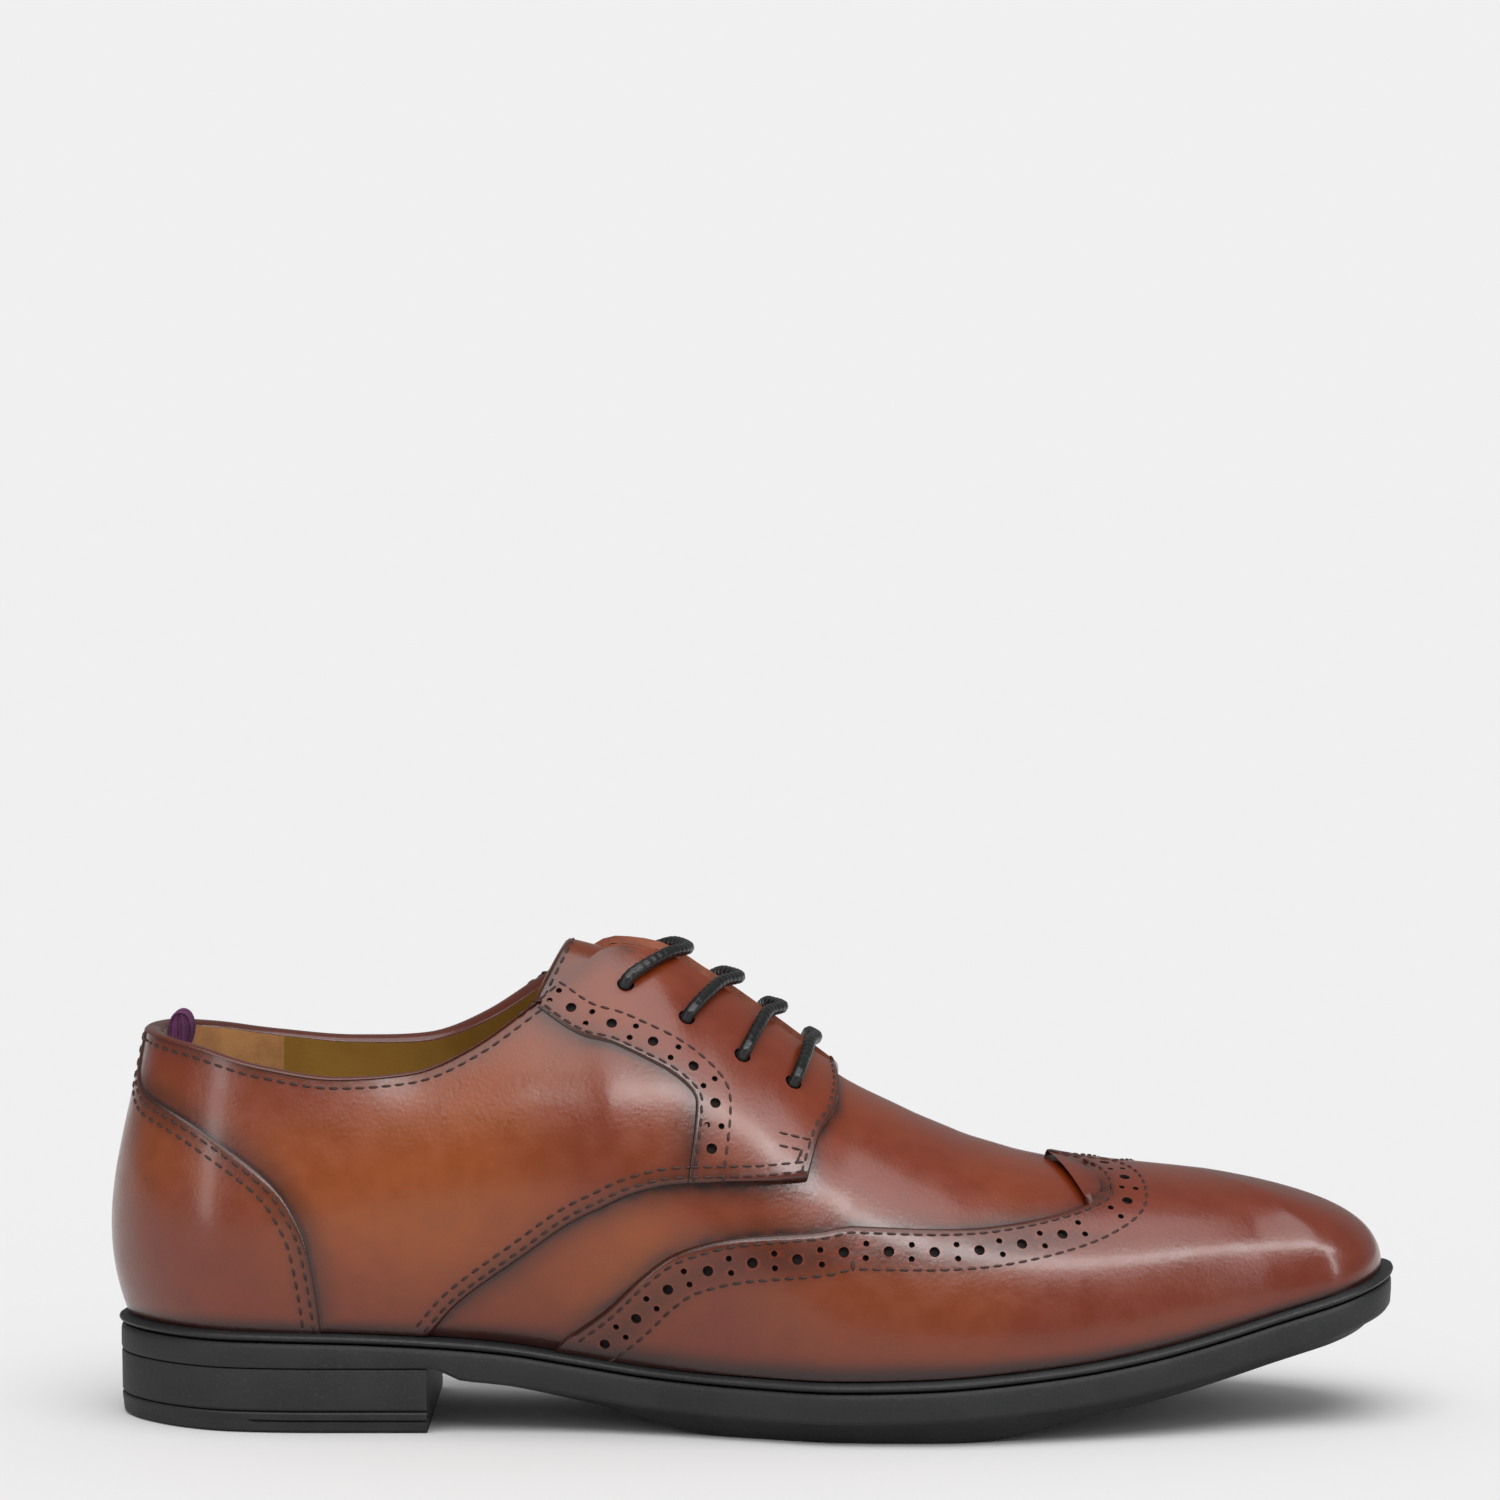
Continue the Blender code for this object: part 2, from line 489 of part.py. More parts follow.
def make_wrapped_panel(name, s, t, open_columns, lift, thick, colour):
    """Panel that runs round the shoe's middle line: one grid a side, merged where they meet.

    The rim closes the first column, the first row, and the last row for the open columns.
    """
    bm = bmesh.new()
    for side in (-1, 1):
        outer = add_grid(bm, skin(side, s, t, lift + thick))
        inner = add_grid(bm, skin(side, s, t, lift))
        add_rim(bm, outer[0], inner[0])
        add_rim(bm, [r[0] for r in outer], [r[0] for r in inner])
        add_rim(bm, [r[-1] for r in outer][:open_columns], [r[-1] for r in inner][:open_columns])
    return finish_mesh(name, bm, colour, 0.35)


def make_wing_cap():
    per_span = 2
    knots = np.linspace(0, 1, len(WING_EDGE))
    u = np.linspace(0, 1, per_span * (len(WING_EDGE) - 1) + 1)
    feather_s = station(smooth(u, knots, WING_FEATHER))
    edge_s, edge_t = curve_through(WING_EDGE, u)
    up = np.linspace(0, 1, 7)[None, :]
    s = feather_s[:, None] * (1 - up) + edge_s[:, None] * up
    t = PANEL_FOOT + (edge_t[:, None] - PANEL_FOOT) * up
    return make_wrapped_panel("wing_cap", s, t, per_span * WING_PEAK + 1, OVERLAY_LIFT, OVERLAY, (0.26, 0.07, 0.02))


def make_heel_counter():
    edge_t = np.array(COUNTER_ROWS)
    edge_s = edge_at_height(COUNTER_EDGE, edge_t)
    across = 1 - np.linspace(0, 1, 11)[:, None]
    s = edge_s[None, :] * across
    t = np.broadcast_to(edge_t, s.shape)
    return make_wrapped_panel("heel_counter", s, t, len(s), OVERLAY_LIFT, COUNTER_OVERLAY, (0.2, 0.05, 0.02))


def make_pull_loop():
    """Folded tape that stands up from behind the back of the collar."""
    inside = section_value("top", np.zeros(1))[0] * LENGTH + UPPER_WALL + 0.0018
    height = section_value("rise", np.zeros(1))[0] * INSTEP_HEIGHT
    belly = LOOP_RISE * 0.9
    path = np.array([(inside, height - 0.0075), (inside, height), (inside + 0.25 * belly, height + 0.75 * LOOP_RISE),
                     (inside + 0.5 * belly, height + LOOP_RISE), (inside + 0.85 * belly, height + 0.75 * LOOP_RISE),
                     (inside + belly, height), (inside + 0.62 * belly, height - 0.0070)])
    along = unit(np.gradient(path, axis=0))
    across = np.stack([-along[:, 1], along[:, 0]], -1) * LOOP_TAPE / 2
    bm = bmesh.new()
    rings = []
    for (x, z), (nx, nz) in zip(path, across):
        rings.append([bm.verts.new((x + k * nx, w * LOOP_WIDTH / 2, z + k * nz))
                      for k, w in ((1, -1), (1, 1), (-1, 1), (-1, -1))])
    for a, b in zip(rings[:-1], rings[1:]):
        add_rim(bm, a + a[:1], b + b[:1])
    bm.faces.new(rings[0])
    bm.faces.new(rings[-1])
    return finish_mesh("pull_loop", bm, (0.07, 0.012, 0.045), 0.8)


def tongue_crown(x):
    """Height of the tongue's upper face on the middle line at x."""
    u = np.linspace(0, 1, 200)
    line = tongue_point(u, np.zeros_like(u), TONGUE_THICK / 2)
    return np.interp(x, line[::-1, 0], line[::-1, 2])


def eyelet_point(side, index, lift):
    share, height = EYELETS[index]
    return skin(side, station(share), height, OVERLAY_LIFT + COUNTER_OVERLAY + lift)


def make_lace(name, index, forward, crest):
    """Lace from one eyelet to its opposite: over the facing's edge, then down or up in the middle."""
    radius = LACE_DIAMETER / 2
    half = []
    for side in (-1, 1):
        start = eyelet_point(side, index, radius + GAP)
        edge = skin(side, station(EYELETS[index][0] + 0.5 * forward / LENGTH), 1.0,
                    OVERLAY_LIFT + COUNTER_OVERLAY + radius + 5 * GAP)
        half.append((start, edge))
    x = half[0][0][0] + forward
    low = tongue_crown(x) + radius + 2 * GAP
    ridge = (half[0][1][2] + half[1][1][2]) / 2 + crest
    middle = np.array([x, middle_line(x / LENGTH), max(low, ridge)])
    route = np.array([half[0][0], half[0][1], middle, half[1][1], half[1][0]])
    knots = np.linspace(0, 1, len(route))
    u = np.linspace(0, 1, 13)
    points = np.stack([np.interp(u, knots, route[:, i]) for i in range(3)], -1)
    for _ in range(2):
        points[1:-1] = (points[:-2] + 2 * points[1:-1] + points[2:]) / 4
    curve = bpy.data.curves.new(name, "CURVE")
    curve.dimensions = "3D"
    curve.bevel_depth = radius
    curve.bevel_resolution = 1
    curve.use_fill_caps = True
    spline = curve.splines.new("POLY")
    spline.points.add(len(points) - 1)
    for knot, point in zip(spline.points, points):
        knot.co = (*point, 1)
    return add_object(name, curve, (0.02, 0.02, 0.022), 0.5)


def centre_on_floor():
    """Place every piece so that the middle of the whole shoe's box stands over the origin."""
    graph = bpy.context.evaluated_depsgraph_get()
    corners = []
    for piece in bpy.data.objects:
        points = np.array([v.co for v in piece.evaluated_get(graph).to_mesh().vertices])
        corners += [points.min(0), points.max(0)]
        piece.evaluated_get(graph).to_mesh_clear()
    middle = (np.min(corners, 0) + np.max(corners, 0)) / 2
    for piece in bpy.data.objects:
        piece.location = (-middle[0], -middle[1], 0)


for old in list(bpy.data.objects):
    bpy.data.objects.remove(old)
sole_stations = np.linspace(0, 1, SOLE_STATIONS)
make_sole(sole_stations)
make_welt(sole_stations)
make_insole(sole_stations)
make_upper()
make_tongue()
make_quarters()
make_facings()
make_wing_cap()
make_heel_counter()
make_pull_loop()
for level in range(3):
    make_lace(f"lace_crossing_{level + 1}", level, 0.0100, -0.0030)
make_lace("lace_bar", 3, 0.0040, 0.0020)
centre_on_floor()
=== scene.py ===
"""Looks of the brogue shoe: burnished tan leather with punched bands, a black rubber sole, round
waxed laces. Every surface is worked out from the same sizes and sections as the solids it dresses."""
import json
import bpy
import bmesh
import numpy as np
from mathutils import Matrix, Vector

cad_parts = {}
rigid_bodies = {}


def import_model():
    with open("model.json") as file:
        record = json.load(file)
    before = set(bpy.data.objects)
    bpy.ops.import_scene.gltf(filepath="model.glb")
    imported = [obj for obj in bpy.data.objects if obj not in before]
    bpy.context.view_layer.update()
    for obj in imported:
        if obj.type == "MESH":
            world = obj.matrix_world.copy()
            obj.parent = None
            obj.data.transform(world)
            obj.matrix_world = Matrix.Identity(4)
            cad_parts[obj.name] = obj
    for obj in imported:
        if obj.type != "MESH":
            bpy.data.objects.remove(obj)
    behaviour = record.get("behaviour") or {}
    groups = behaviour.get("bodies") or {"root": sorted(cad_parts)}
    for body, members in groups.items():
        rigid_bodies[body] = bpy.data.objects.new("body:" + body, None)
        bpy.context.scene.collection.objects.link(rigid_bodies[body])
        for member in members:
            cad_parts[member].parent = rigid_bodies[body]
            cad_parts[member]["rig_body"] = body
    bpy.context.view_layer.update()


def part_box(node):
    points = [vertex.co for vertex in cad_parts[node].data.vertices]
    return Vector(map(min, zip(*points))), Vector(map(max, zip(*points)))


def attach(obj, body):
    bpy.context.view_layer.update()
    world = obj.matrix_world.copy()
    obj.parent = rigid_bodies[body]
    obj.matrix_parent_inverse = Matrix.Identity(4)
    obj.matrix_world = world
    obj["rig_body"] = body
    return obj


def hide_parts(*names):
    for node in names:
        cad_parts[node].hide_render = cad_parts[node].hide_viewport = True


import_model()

# Sizes of the shoe, in metres
LENGTH = 0.312
BALL_WIDTH = 0.103
HEEL_HEIGHT = 0.0155
INSTEP_HEIGHT = 0.1145
UPPER_WALL = 0.0022
SOLE_EDGE = 0.0075
WELT_THICK = 0.0022
TREAD_DEPTH = 0.0048
TREAD_INSET = 0.0060
LIFT_THICK = 0.0052
HEEL_LENGTH = 0.0770
BREAST_STEP = 0.0010
INSOLE_THICK = 0.0025
TONGUE_THICK = 0.0024
LACE_DIAMETER = 0.0033
GAP = 0.0003
STITCH_PITCH = 0.0032
LACE_TURN = 0.0042         # length of one turn of the lace's braid
HEEL_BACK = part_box("welt")[0][0]   # where the sole starts, in the frame
STEP = 1e-3                # step of the differences that give a surface's directions

# The sole's outline. x: share of the length. lateral and medial, the outer and inner side of the foot:
# shares of the ball's half width.
PLAN = dict(
    x=(0.00, 0.07, 0.16, 0.25, 0.34, 0.42, 0.49, 0.56, 0.63, 0.70, 0.77, 0.84, 0.91, 0.96, 1.00),
    lateral=(0.50, 0.60, 0.66, 0.66, 0.67, 0.74, 0.87, 0.99, 1.01, 0.95, 0.84, 0.70, 0.54, 0.44, 0.38),
    medial=(0.50, 0.60, 0.64, 0.58, 0.50, 0.52, 0.66, 0.86, 1.00, 1.03, 0.97, 0.86, 0.72, 0.61, 0.54),
)
HEEL_ROUND = 0.105         # shares of the length over which the outline rounds off
TOE_ROUND = 0.062
# The sole's edge. feather: height of the line where the upper meets the welt, as a share of the instep
# height. drop: how far the tread lies below the edge, as a share of its depth.
EDGE = dict(
    x=(0.00, 0.16, 0.25, 0.31, 0.36, 0.42, 0.48, 0.55, 0.62, 0.70, 0.77, 0.83, 0.91, 0.97, 1.00),
    feather=(0.214, 0.210, 0.200, 0.186, 0.165, 0.143, 0.134, 0.131, 0.135, 0.148, 0.168, 0.197, 0.250,
             0.295, 0.315),
    drop=(0.0, 0.0, 0.05, 0.15, 0.30, 0.60, 0.95, 1.0, 1.0, 0.85, 0.70, 0.60, 0.50, 0.45, 0.40),
)
FLAT_FROM = 0.50           # the tread lies flat on the floor from here
FLAT_TO = 0.64
FLAT_EASE = 0.11           # share of the length over which the tread comes down to the floor
# The upper, a row for each section from the heel seam (foot 0) to the toe (foot 1).
# foot, top, aim: shares of the length. rise: share of the instep height, with inner_rise more on the
# inner side of the foot. spread: share of the ball's half width. lean and roll: degrees from upright at
# the feather and at the top edge. low and high: lengths of the section's two handles as shares of its
# straight length.
SECTION_COLUMNS = ("foot", "top", "aim", "rise", "inner_rise", "spread", "lean", "roll", "low", "high")
SECTIONS = (
    (0.000, 0.027, 0.12, 0.818, 0.000, 0.00, 22.0, 10.0, 0.36, 0.40),
    (0.030, 0.037, 0.12, 0.812, 0.008, 0.22, 21.5, 12.0, 0.37, 0.40),
    (0.075, 0.071, 0.14, 0.792, 0.016, 0.38, 20.0, 13.0, 0.38, 0.40),
    (0.140, 0.120, 0.17, 0.757, 0.028, 0.49, 18.0, 14.0, 0.40, 0.40),
    (0.200, 0.180, 0.22, 0.735, 0.035, 0.53, 16.0, 18.0, 0.42, 0.40),
    (0.255, 0.235, 0.27, 0.745, 0.029, 0.53, 16.0, 24.0, 0.42, 0.40),
    (0.305, 0.285, 0.31, 0.800, 0.024, 0.50, 17.0, 30.0, 0.42, 0.40),
    (0.350, 0.330, 0.35, 0.885, 0.020, 0.42, 19.0, 36.0, 0.42, 0.40),
    (0.385, 0.362, 0.38, 0.950, 0.008, 0.31, 20.0, 44.0, 0.40, 0.42),
    (0.410, 0.388, 0.41, 0.991, 0.003, 0.205, 20.0, 51.0, 0.38, 0.44),
    (0.430, 0.418, 0.43, 0.982, 0.003, 0.160, 18.0, 56.5, 0.37, 0.44),
    (0.460, 0.458, 0.46, 0.920, 0.003, 0.142, 14.5, 63.5, 0.355, 0.43),
    (0.510, 0.510, 0.51, 0.822, 0.003, 0.130, 10.0, 71.0, 0.34, 0.42),
    (0.545, 0.545, 0.55, 0.753, 0.002, 0.095, 9.0, 79.0, 0.34, 0.42),
    (0.572, 0.572, 0.57, 0.706, 0.000, 0.000, 8.0, 88.0, 0.34, 0.43),
    (0.610, 0.610, 0.61, 0.655, 0.000, 0.000, 8.0, 89.0, 0.34, 0.45),
    (0.670, 0.670, 0.67, 0.585, 0.000, 0.000, 9.0, 90.0, 0.34, 0.48),
    (0.740, 0.740, 0.74, 0.535, 0.000, 0.000, 9.0, 90.0, 0.34, 0.50),
    (0.820, 0.820, 0.82, 0.507, 0.000, 0.000, 8.0, 90.0, 0.34, 0.54),
    (0.870, 0.845, 0.845, 0.500, 0.000, 0.000, 6.0, 88.0, 0.34, 0.56),
    (0.940, 0.845, 0.845, 0.500, 0.000, 0.000, 5.0, 84.0, 0.30, 0.56),
    (1.000, 0.845, 0.845, 0.500, 0.000, 0.000, 4.0, 81.0, 0.24, 0.56),
)
THROAT_FOOT = 0.572        # the sections ahead of this one close over the foot
POLE_FOOT = 0.870          # the sections ahead of this one all end at one point above the toe
TOE_SWING = 0.10           # toe's middle line, as a share of the ball's half width
SWING_FROM = 0.55          # share of the length where the middle line leaves the straight
SWING_RUN = 0.45
SWING_POWER = 1.5
FEATHER_INSET = dict(      # how far the upper's foot lies inside the sole's outline
    x=(0.0, 0.2, 0.4, 0.6, 0.8, 1.0),
    inset=(0.0042, 0.0036, 0.0034, 0.0036, 0.0040, 0.0042),
)

# Panel edges on the upper, as (foot share of the section, height along the section)
COUNTER_EDGE = ((0.166, 0.0), (0.165, 0.31), (0.158, 0.47), (0.144, 0.59), (0.109, 0.70), (0.061, 0.78),
                (0.025, 0.83), (0.006, 0.90), (0.003, 1.0))
QUARTER_LOWER = ((0.248, 0.0), (0.276, 0.13), (0.317, 0.25), (0.368, 0.36), (0.407, 0.40), (0.446, 0.44))
FACING_REAR = ((0.446, 0.44), (0.452, 0.64), (0.423, 0.72), (0.390, 0.81), (0.348, 1.0))
FACING_FRONT = ((0.537, 0.53), (0.548, 0.68), (0.557, 0.75), (0.561, 0.86), (0.560, 0.94), (0.558, 1.0))
# The wing cap's foot, as foot shares: one for each point of its edge
WING_FEATHER = (0.345, 0.375, 0.410, 0.450, 0.500, 0.560, 0.620, 0.670, 0.710, 0.740, 0.765, 0.790, 0.810,
                0.840, 0.870, 0.920, 0.960, 0.985, 0.996, 1.0)
WING_EDGE = ((0.358, 0.05), (0.379, 0.11), (0.412, 0.21), (0.441, 0.28), (0.485, 0.345), (0.550, 0.402),
             (0.647, 0.468), (0.712, 0.55), (0.756, 0.65), (0.769, 0.73), (0.765, 0.84), (0.748, 0.95),
             (0.726, 1.0), (0.800, 1.0), (0.870, 1.0), (0.920, 1.0), (0.960, 1.0), (0.985, 1.0),
             (0.996, 1.0), (1.0, 1.0))
WING_PEAK = 12             # the row of both lists where the wing's edge reaches the ridge
EYELETS = ((0.416, 0.90), (0.447, 0.84), (0.484, 0.805), (0.524, 0.80))
COLLAR_END = 0.352         # foot share where the collar's roll meets the facing

# The tongue, a row for each cross section from the vamp to the crest.
# place: share of the length. rise, drop: shares of the instep height at its middle, and how far its
# edges fall. half: share of the ball's half width. sweep: share of the length its edges lie behind.
TONGUE_COLUMNS = ("place", "rise", "half", "drop", "sweep")
TONGUE = (
    (0.612, 0.608, 0.28, 0.050, 0.000),
    (0.590, 0.632, 0.30, 0.060, 0.000),
    (0.570, 0.662, 0.31, 0.070, 0.000),
    (0.550, 0.698, 0.32, 0.080, 0.000),
    (0.510, 0.782, 0.33, 0.100, 0.000),
    (0.460, 0.878, 0.34, 0.120, 0.000),
    (0.420, 0.946, 0.34, 0.135, -0.004),
    (0.390, 0.974, 0.34, 0.140, -0.014),
    (0.368, 0.992, 0.33, 0.138, -0.022),
    (0.350, 1.004, 0.32, 0.130, -0.026),
)
TONGUE_FALL = 2.2          # power of the fall towards the tongue's edges


# Curves, and the shapes of the shoe
def smooth(x, xs, ys, level_ends=False):
    """Smooth curve through the points xs, ys that never overshoots them, level at its ends on request.

    Between two points it is a cubic. Its slope at a point is 3ab / (a + b + the smaller of them), where a
    and b are the slopes of the straight lines on both sides, and 0 where the curve turns.
    """
    xs = np.asarray(xs, float)
    ys = np.asarray(ys, float)
    x = np.clip(x, xs[0], xs[-1])
    step = np.diff(xs)
    slope = np.diff(ys) / step
    tangent = np.zeros_like(ys)
    same = slope[:-1] * slope[1:] > 0
    left = slope[:-1][same]
    right = slope[1:][same]
    smaller = np.minimum(np.abs(left), np.abs(right)) * np.sign(left)
    tangent[1:-1][same] = 3 * left * right / (left + right + smaller)
    if not level_ends:
        tangent[0] = slope[0]
        tangent[-1] = slope[-1]
    i = np.clip(np.searchsorted(xs, x, side="right") - 1, 0, len(step) - 1)
    u = (x - xs[i]) / step[i]
    return ((2 * u ** 3 - 3 * u ** 2 + 1) * ys[i] + (u ** 3 - 2 * u ** 2 + u) * step[i] * tangent[i]
            + (3 * u ** 2 - 2 * u ** 3) * ys[i + 1] + (u ** 3 - u ** 2) * step[i] * tangent[i + 1])


def foot_share(s):
    """Place along the sole for the station s: closer together at both ends."""
    return (1 - np.cos(np.pi * s)) / 2


def station(share):
    """Station whose place along the sole is the given share."""
    return np.arccos(1 - 2 * np.asarray(share, float)) / np.pi


def unit(v):
    """Vectors of length one that point the same way."""
    return v / np.maximum(np.linalg.norm(v, axis=-1, keepdims=True), 1e-12)


def middle_line(share):
    """Sideways place of the sole's middle: straight at the heel, swung in at the toe."""
    return TOE_SWING * BALL_WIDTH / 2 * np.clip((share - SWING_FROM) / SWING_RUN, 0, 1) ** SWING_POWER


def outline(side, s, inset=0.0):
    """Plan of the sole edge at station s, moved inwards by inset: x and y.

    y is the half width times sqrt(h (2 - h)) sqrt(t (2 - t)), where h and t grow from 0 to 1 over the
    rounded heel and toe.
    """
    def point(q):
        share = foot_share(q)
        lateral = smooth(share, PLAN["x"], PLAN["lateral"])
        width = np.where(side < 0, lateral, smooth(share, PLAN["x"], PLAN["medial"]))
        heel = np.clip(share / HEEL_ROUND, 0, 1)
        toe = np.clip((1 - share) / TOE_ROUND, 0, 1)
        ends = np.sqrt(heel * (2 - heel)) * np.sqrt(toe * (2 - toe))
        middle = middle_line(share)
        reach = width * BALL_WIDTH / 2 - side * middle * np.clip((share - 0.9) / 0.1, 0, 1)
        y = side * reach * ends + middle * (1 - ends) * np.where(share > 0.5, 1.0, 0.0)
        return np.stack([share * LENGTH, y], -1)
    here = point(s)
    tangent = unit(point(np.clip(s + STEP, 0, 1)) - point(np.clip(s - STEP, 0, 1)))
    normal = np.stack([tangent[..., 1], -tangent[..., 0]], -1) * -np.asarray(side)[..., None]
    at_end = (np.asarray(s) < 1e-9) | (np.asarray(s) > 1 - 1e-9)
    end_normal = np.stack([np.where(np.asarray(s) < 0.5, -1.0, 1.0), np.zeros_like(s)], -1)
    normal = np.where(at_end[..., None], end_normal, normal)
    return here - normal * np.asarray(inset)[..., None]


def feather_height(share):
    """Height of the line where the upper meets the welt."""
    return smooth(share, EDGE["x"], EDGE["feather"]) * INSTEP_HEIGHT


def section_value(name, s):
    """One column of the sections as a smooth curve over the station; the heights turn level at the ends."""
    column = SECTION_COLUMNS.index(name)
    rows = np.array(SECTIONS)
    crosses_over = name in ("spread", "inner_rise")
    return smooth(s, station(rows[:, 0]), rows[:, column], level_ends=not crosses_over)


def skin_point(side, s, t):
    """Point of the upper: at station s, a curve from the feather (t 0) to the top edge (t 1).

    The curve is a cubic with two handles, low and high:
    foot (1 - t)^3 + 3 low t (1 - t)^2 + 3 high t^2 (1 - t) + top t^3.
    """
    share = foot_share(s)
    inset = smooth(share, FEATHER_INSET["x"], FEATHER_INSET["inset"])
    base = outline(side, s, inset)
    foot = np.concatenate([base, (feather_height(base[..., 0] / LENGTH) + GAP)[..., None]], -1)
    top_x = section_value("top", s) * LENGTH
    inner_rise = np.where(side < 0, 0.0, section_value("inner_rise", s))
    rise = (section_value("rise", s) + inner_rise) * INSTEP_HEIGHT
    spread = section_value("spread", s) * BALL_WIDTH / 2
    top = np.stack([top_x, side * spread + middle_line(top_x / LENGTH), rise], -1)
    aim_x = section_value("aim", s) * LENGTH
    aim = np.stack([aim_x, middle_line(aim_x / LENGTH)], -1)
    inward = unit(aim - base)
    inward = np.concatenate([inward, np.zeros_like(inward[..., :1])], -1)
    up = np.zeros_like(inward)
    up[..., 2] = 1
    lean = np.radians(section_value("lean", s))[..., None]
    roll = np.radians(section_value("roll", s))[..., None]
    chord = np.linalg.norm(top - foot, axis=-1, keepdims=True)
    low = foot + chord * section_value("low", s)[..., None] * (up * np.cos(lean) - inward * np.sin(lean))
    high = top - chord * section_value("high", s)[..., None] * (up * np.cos(roll) + inward * np.sin(roll))
    t = np.asarray(t)[..., None]
    return foot * (1 - t) ** 3 + 3 * low * t * (1 - t) ** 2 + 3 * high * t ** 2 * (1 - t) + top * t ** 3


def skin_normal(side, s, t):
    """Outward direction of the upper: its two directions crossed. On the seams both sides share it."""
    def raw(d):
        a = np.clip(s, STEP, 1 - STEP)
        b = np.clip(t, 0, 1 - 2 * STEP)
        along = skin_point(d, a + STEP, b) - skin_point(d, a - STEP, b)
        rise = skin_point(d, a, b + STEP) - skin_point(d, a, b)
        return unit(np.cross(along, rise) * np.asarray(-d)[..., None])
    s = np.where((t > 1 - 1e-6) & (foot_share(s) > POLE_FOOT), station(POLE_FOOT), s)
    own = raw(side)
    shared = (s < 1e-6) | (s > 1 - 1e-6) | ((t > 1 - 1e-6) & (foot_share(s) >= THROAT_FOOT - 1e-6))
    both = unit(raw(-np.ones_like(s)) + raw(np.ones_like(s)))
    return np.where(shared[..., None], both, own)


def skin(side, s, t, lift=0.0):
    """Points of the upper, lifted off it along its outward direction. side: -1 outer, 1 inner."""
    side, s, t = np.broadcast_arrays(np.asarray(side, float), np.asarray(s, float), np.asarray(t, float))
    return skin_point(side, s, t) + lift * skin_normal(side, s, t)


def curve_through(points, u):
    """Smooth curve through (foot share, height) points, read at u from 0 to 1: station and height."""
    points = np.asarray(points, float)
    knots = np.linspace(0, 1, len(points))
    share = smooth(u, knots, points[:, 0])
    return station(share), smooth(u, knots, points[:, 1])


def edge_at_height(points, height):
    """Station of a panel edge that only climbs, at the given heights along the section."""
    points = np.asarray(points, float)
    return smooth(height, points[:, 1], station(points[:, 0]))


def moved_edge(edge, distance):
    """The same panel edge, further along the shoe by a distance."""
    return tuple((max(share + distance / LENGTH, 0.0), height) for share, height in edge)


def tongue_point(u, v, lift=0.0):
    """Middle surface of the tongue: u from the vamp (0) to the crest (1), v across (-1 to 1).

    It falls from its middle by drop |v|^TONGUE_FALL, and its edges lie behind by sweep v^2.
    """
    rows = np.array(TONGUE)
    knots = np.linspace(0, 1, len(rows))
    place, rise, half, drop, sweep = (smooth(u, knots, rows[:, TONGUE_COLUMNS.index(column)])
                                      for column in TONGUE_COLUMNS)
    x = (place + sweep * v ** 2) * LENGTH
    y = middle_line(place) + v * half * BALL_WIDTH / 2
    z = (rise - drop * np.abs(v) ** TONGUE_FALL) * INSTEP_HEIGHT + lift
    return np.stack([x, y, z], -1)


def sole_top(share):
    """Height of the outsole's upper face, under the welt."""
    return feather_height(share) - WELT_THICK - GAP


def sole_edge(share):
    """Height of the lower corner of the outsole's edge."""
    return sole_top(share) - SOLE_EDGE


def tread(share):
    """Underside of the outsole: bevelled in from its edge, flat on the floor at the ball."""
    deep = sole_edge(share) - TREAD_DEPTH * smooth(share, EDGE["x"], EDGE["drop"])
    near = np.clip(np.minimum((share - FLAT_FROM) / FLAT_EASE, (FLAT_TO - share) / FLAT_EASE) + 1, 0, 1)
    return np.maximum(deep, 0.0) * (1 - near ** 2 * (3 - 2 * near))


# Meshes from grids
def to_frame(points):
    """Shape functions measure x from the back of the sole; the frame's origin is the shoe's middle."""
    return points + np.array([HEEL_BACK, 0.0, 0.0])


class Build:
    """Collects grids of points with named per-point values, and makes one mesh of them."""

    def __init__(self):
        self.points, self.faces, self.slots, self.values, self.count = [], [], [], {}, 0

    def grid(self, points, wrap=False, slot=0, **values):
        """Quads over a grid of points; wrap joins the last column to the first."""
        rows, columns = points.shape[:2]
        index = np.arange(rows * columns).reshape(rows, columns) + self.count
        if wrap:
            index = np.concatenate([index, index[:, :1]], 1)
        corners = index[:-1, :-1], index[:-1, 1:], index[1:, 1:], index[1:, :-1]
        quads = np.stack(corners, -1).reshape(-1, 4)
        self.faces.append(quads)
        self.slots.append(np.full(len(quads), slot))
        self.points.append(points.reshape(-1, 3))
        for name in set(values) | set(self.values):
            stored = self.values.setdefault(name, [np.zeros(self.count)])
            stored.append(np.broadcast_to(values.get(name, 0.0), points.shape[:2]).reshape(-1))
        self.count += rows * columns

    def mesh(self, name, merge=2e-6, sharp=0.6):
        """One mesh of the grids: points closer than merge are one, and it is crisp where it turns by more
        than sharp radians."""
        data = bpy.data.meshes.new(name)
        points = to_frame(np.concatenate(self.points))
        data.from_pydata(points.tolist(), [], np.concatenate(self.faces).tolist())
        data.polygons.foreach_set("material_index", np.concatenate(self.slots).astype(np.int32))
        for key, parts in self.values.items():
            layer = data.attributes.new(key, "FLOAT", "POINT")
            layer.data.foreach_set("value", np.concatenate(parts).astype(np.float32))
        bm = bmesh.new()
        bm.from_mesh(data)
        bmesh.ops.remove_doubles(bm, verts=bm.verts, dist=merge)
        bmesh.ops.dissolve_degenerate(bm, dist=merge / 2, edges=bm.edges)
        bmesh.ops.recalc_face_normals(bm, faces=bm.faces)
        bm.to_mesh(data)
        bm.free()
        data.shade_smooth()
        data.set_sharp_from_angle(angle=sharp)
        return data


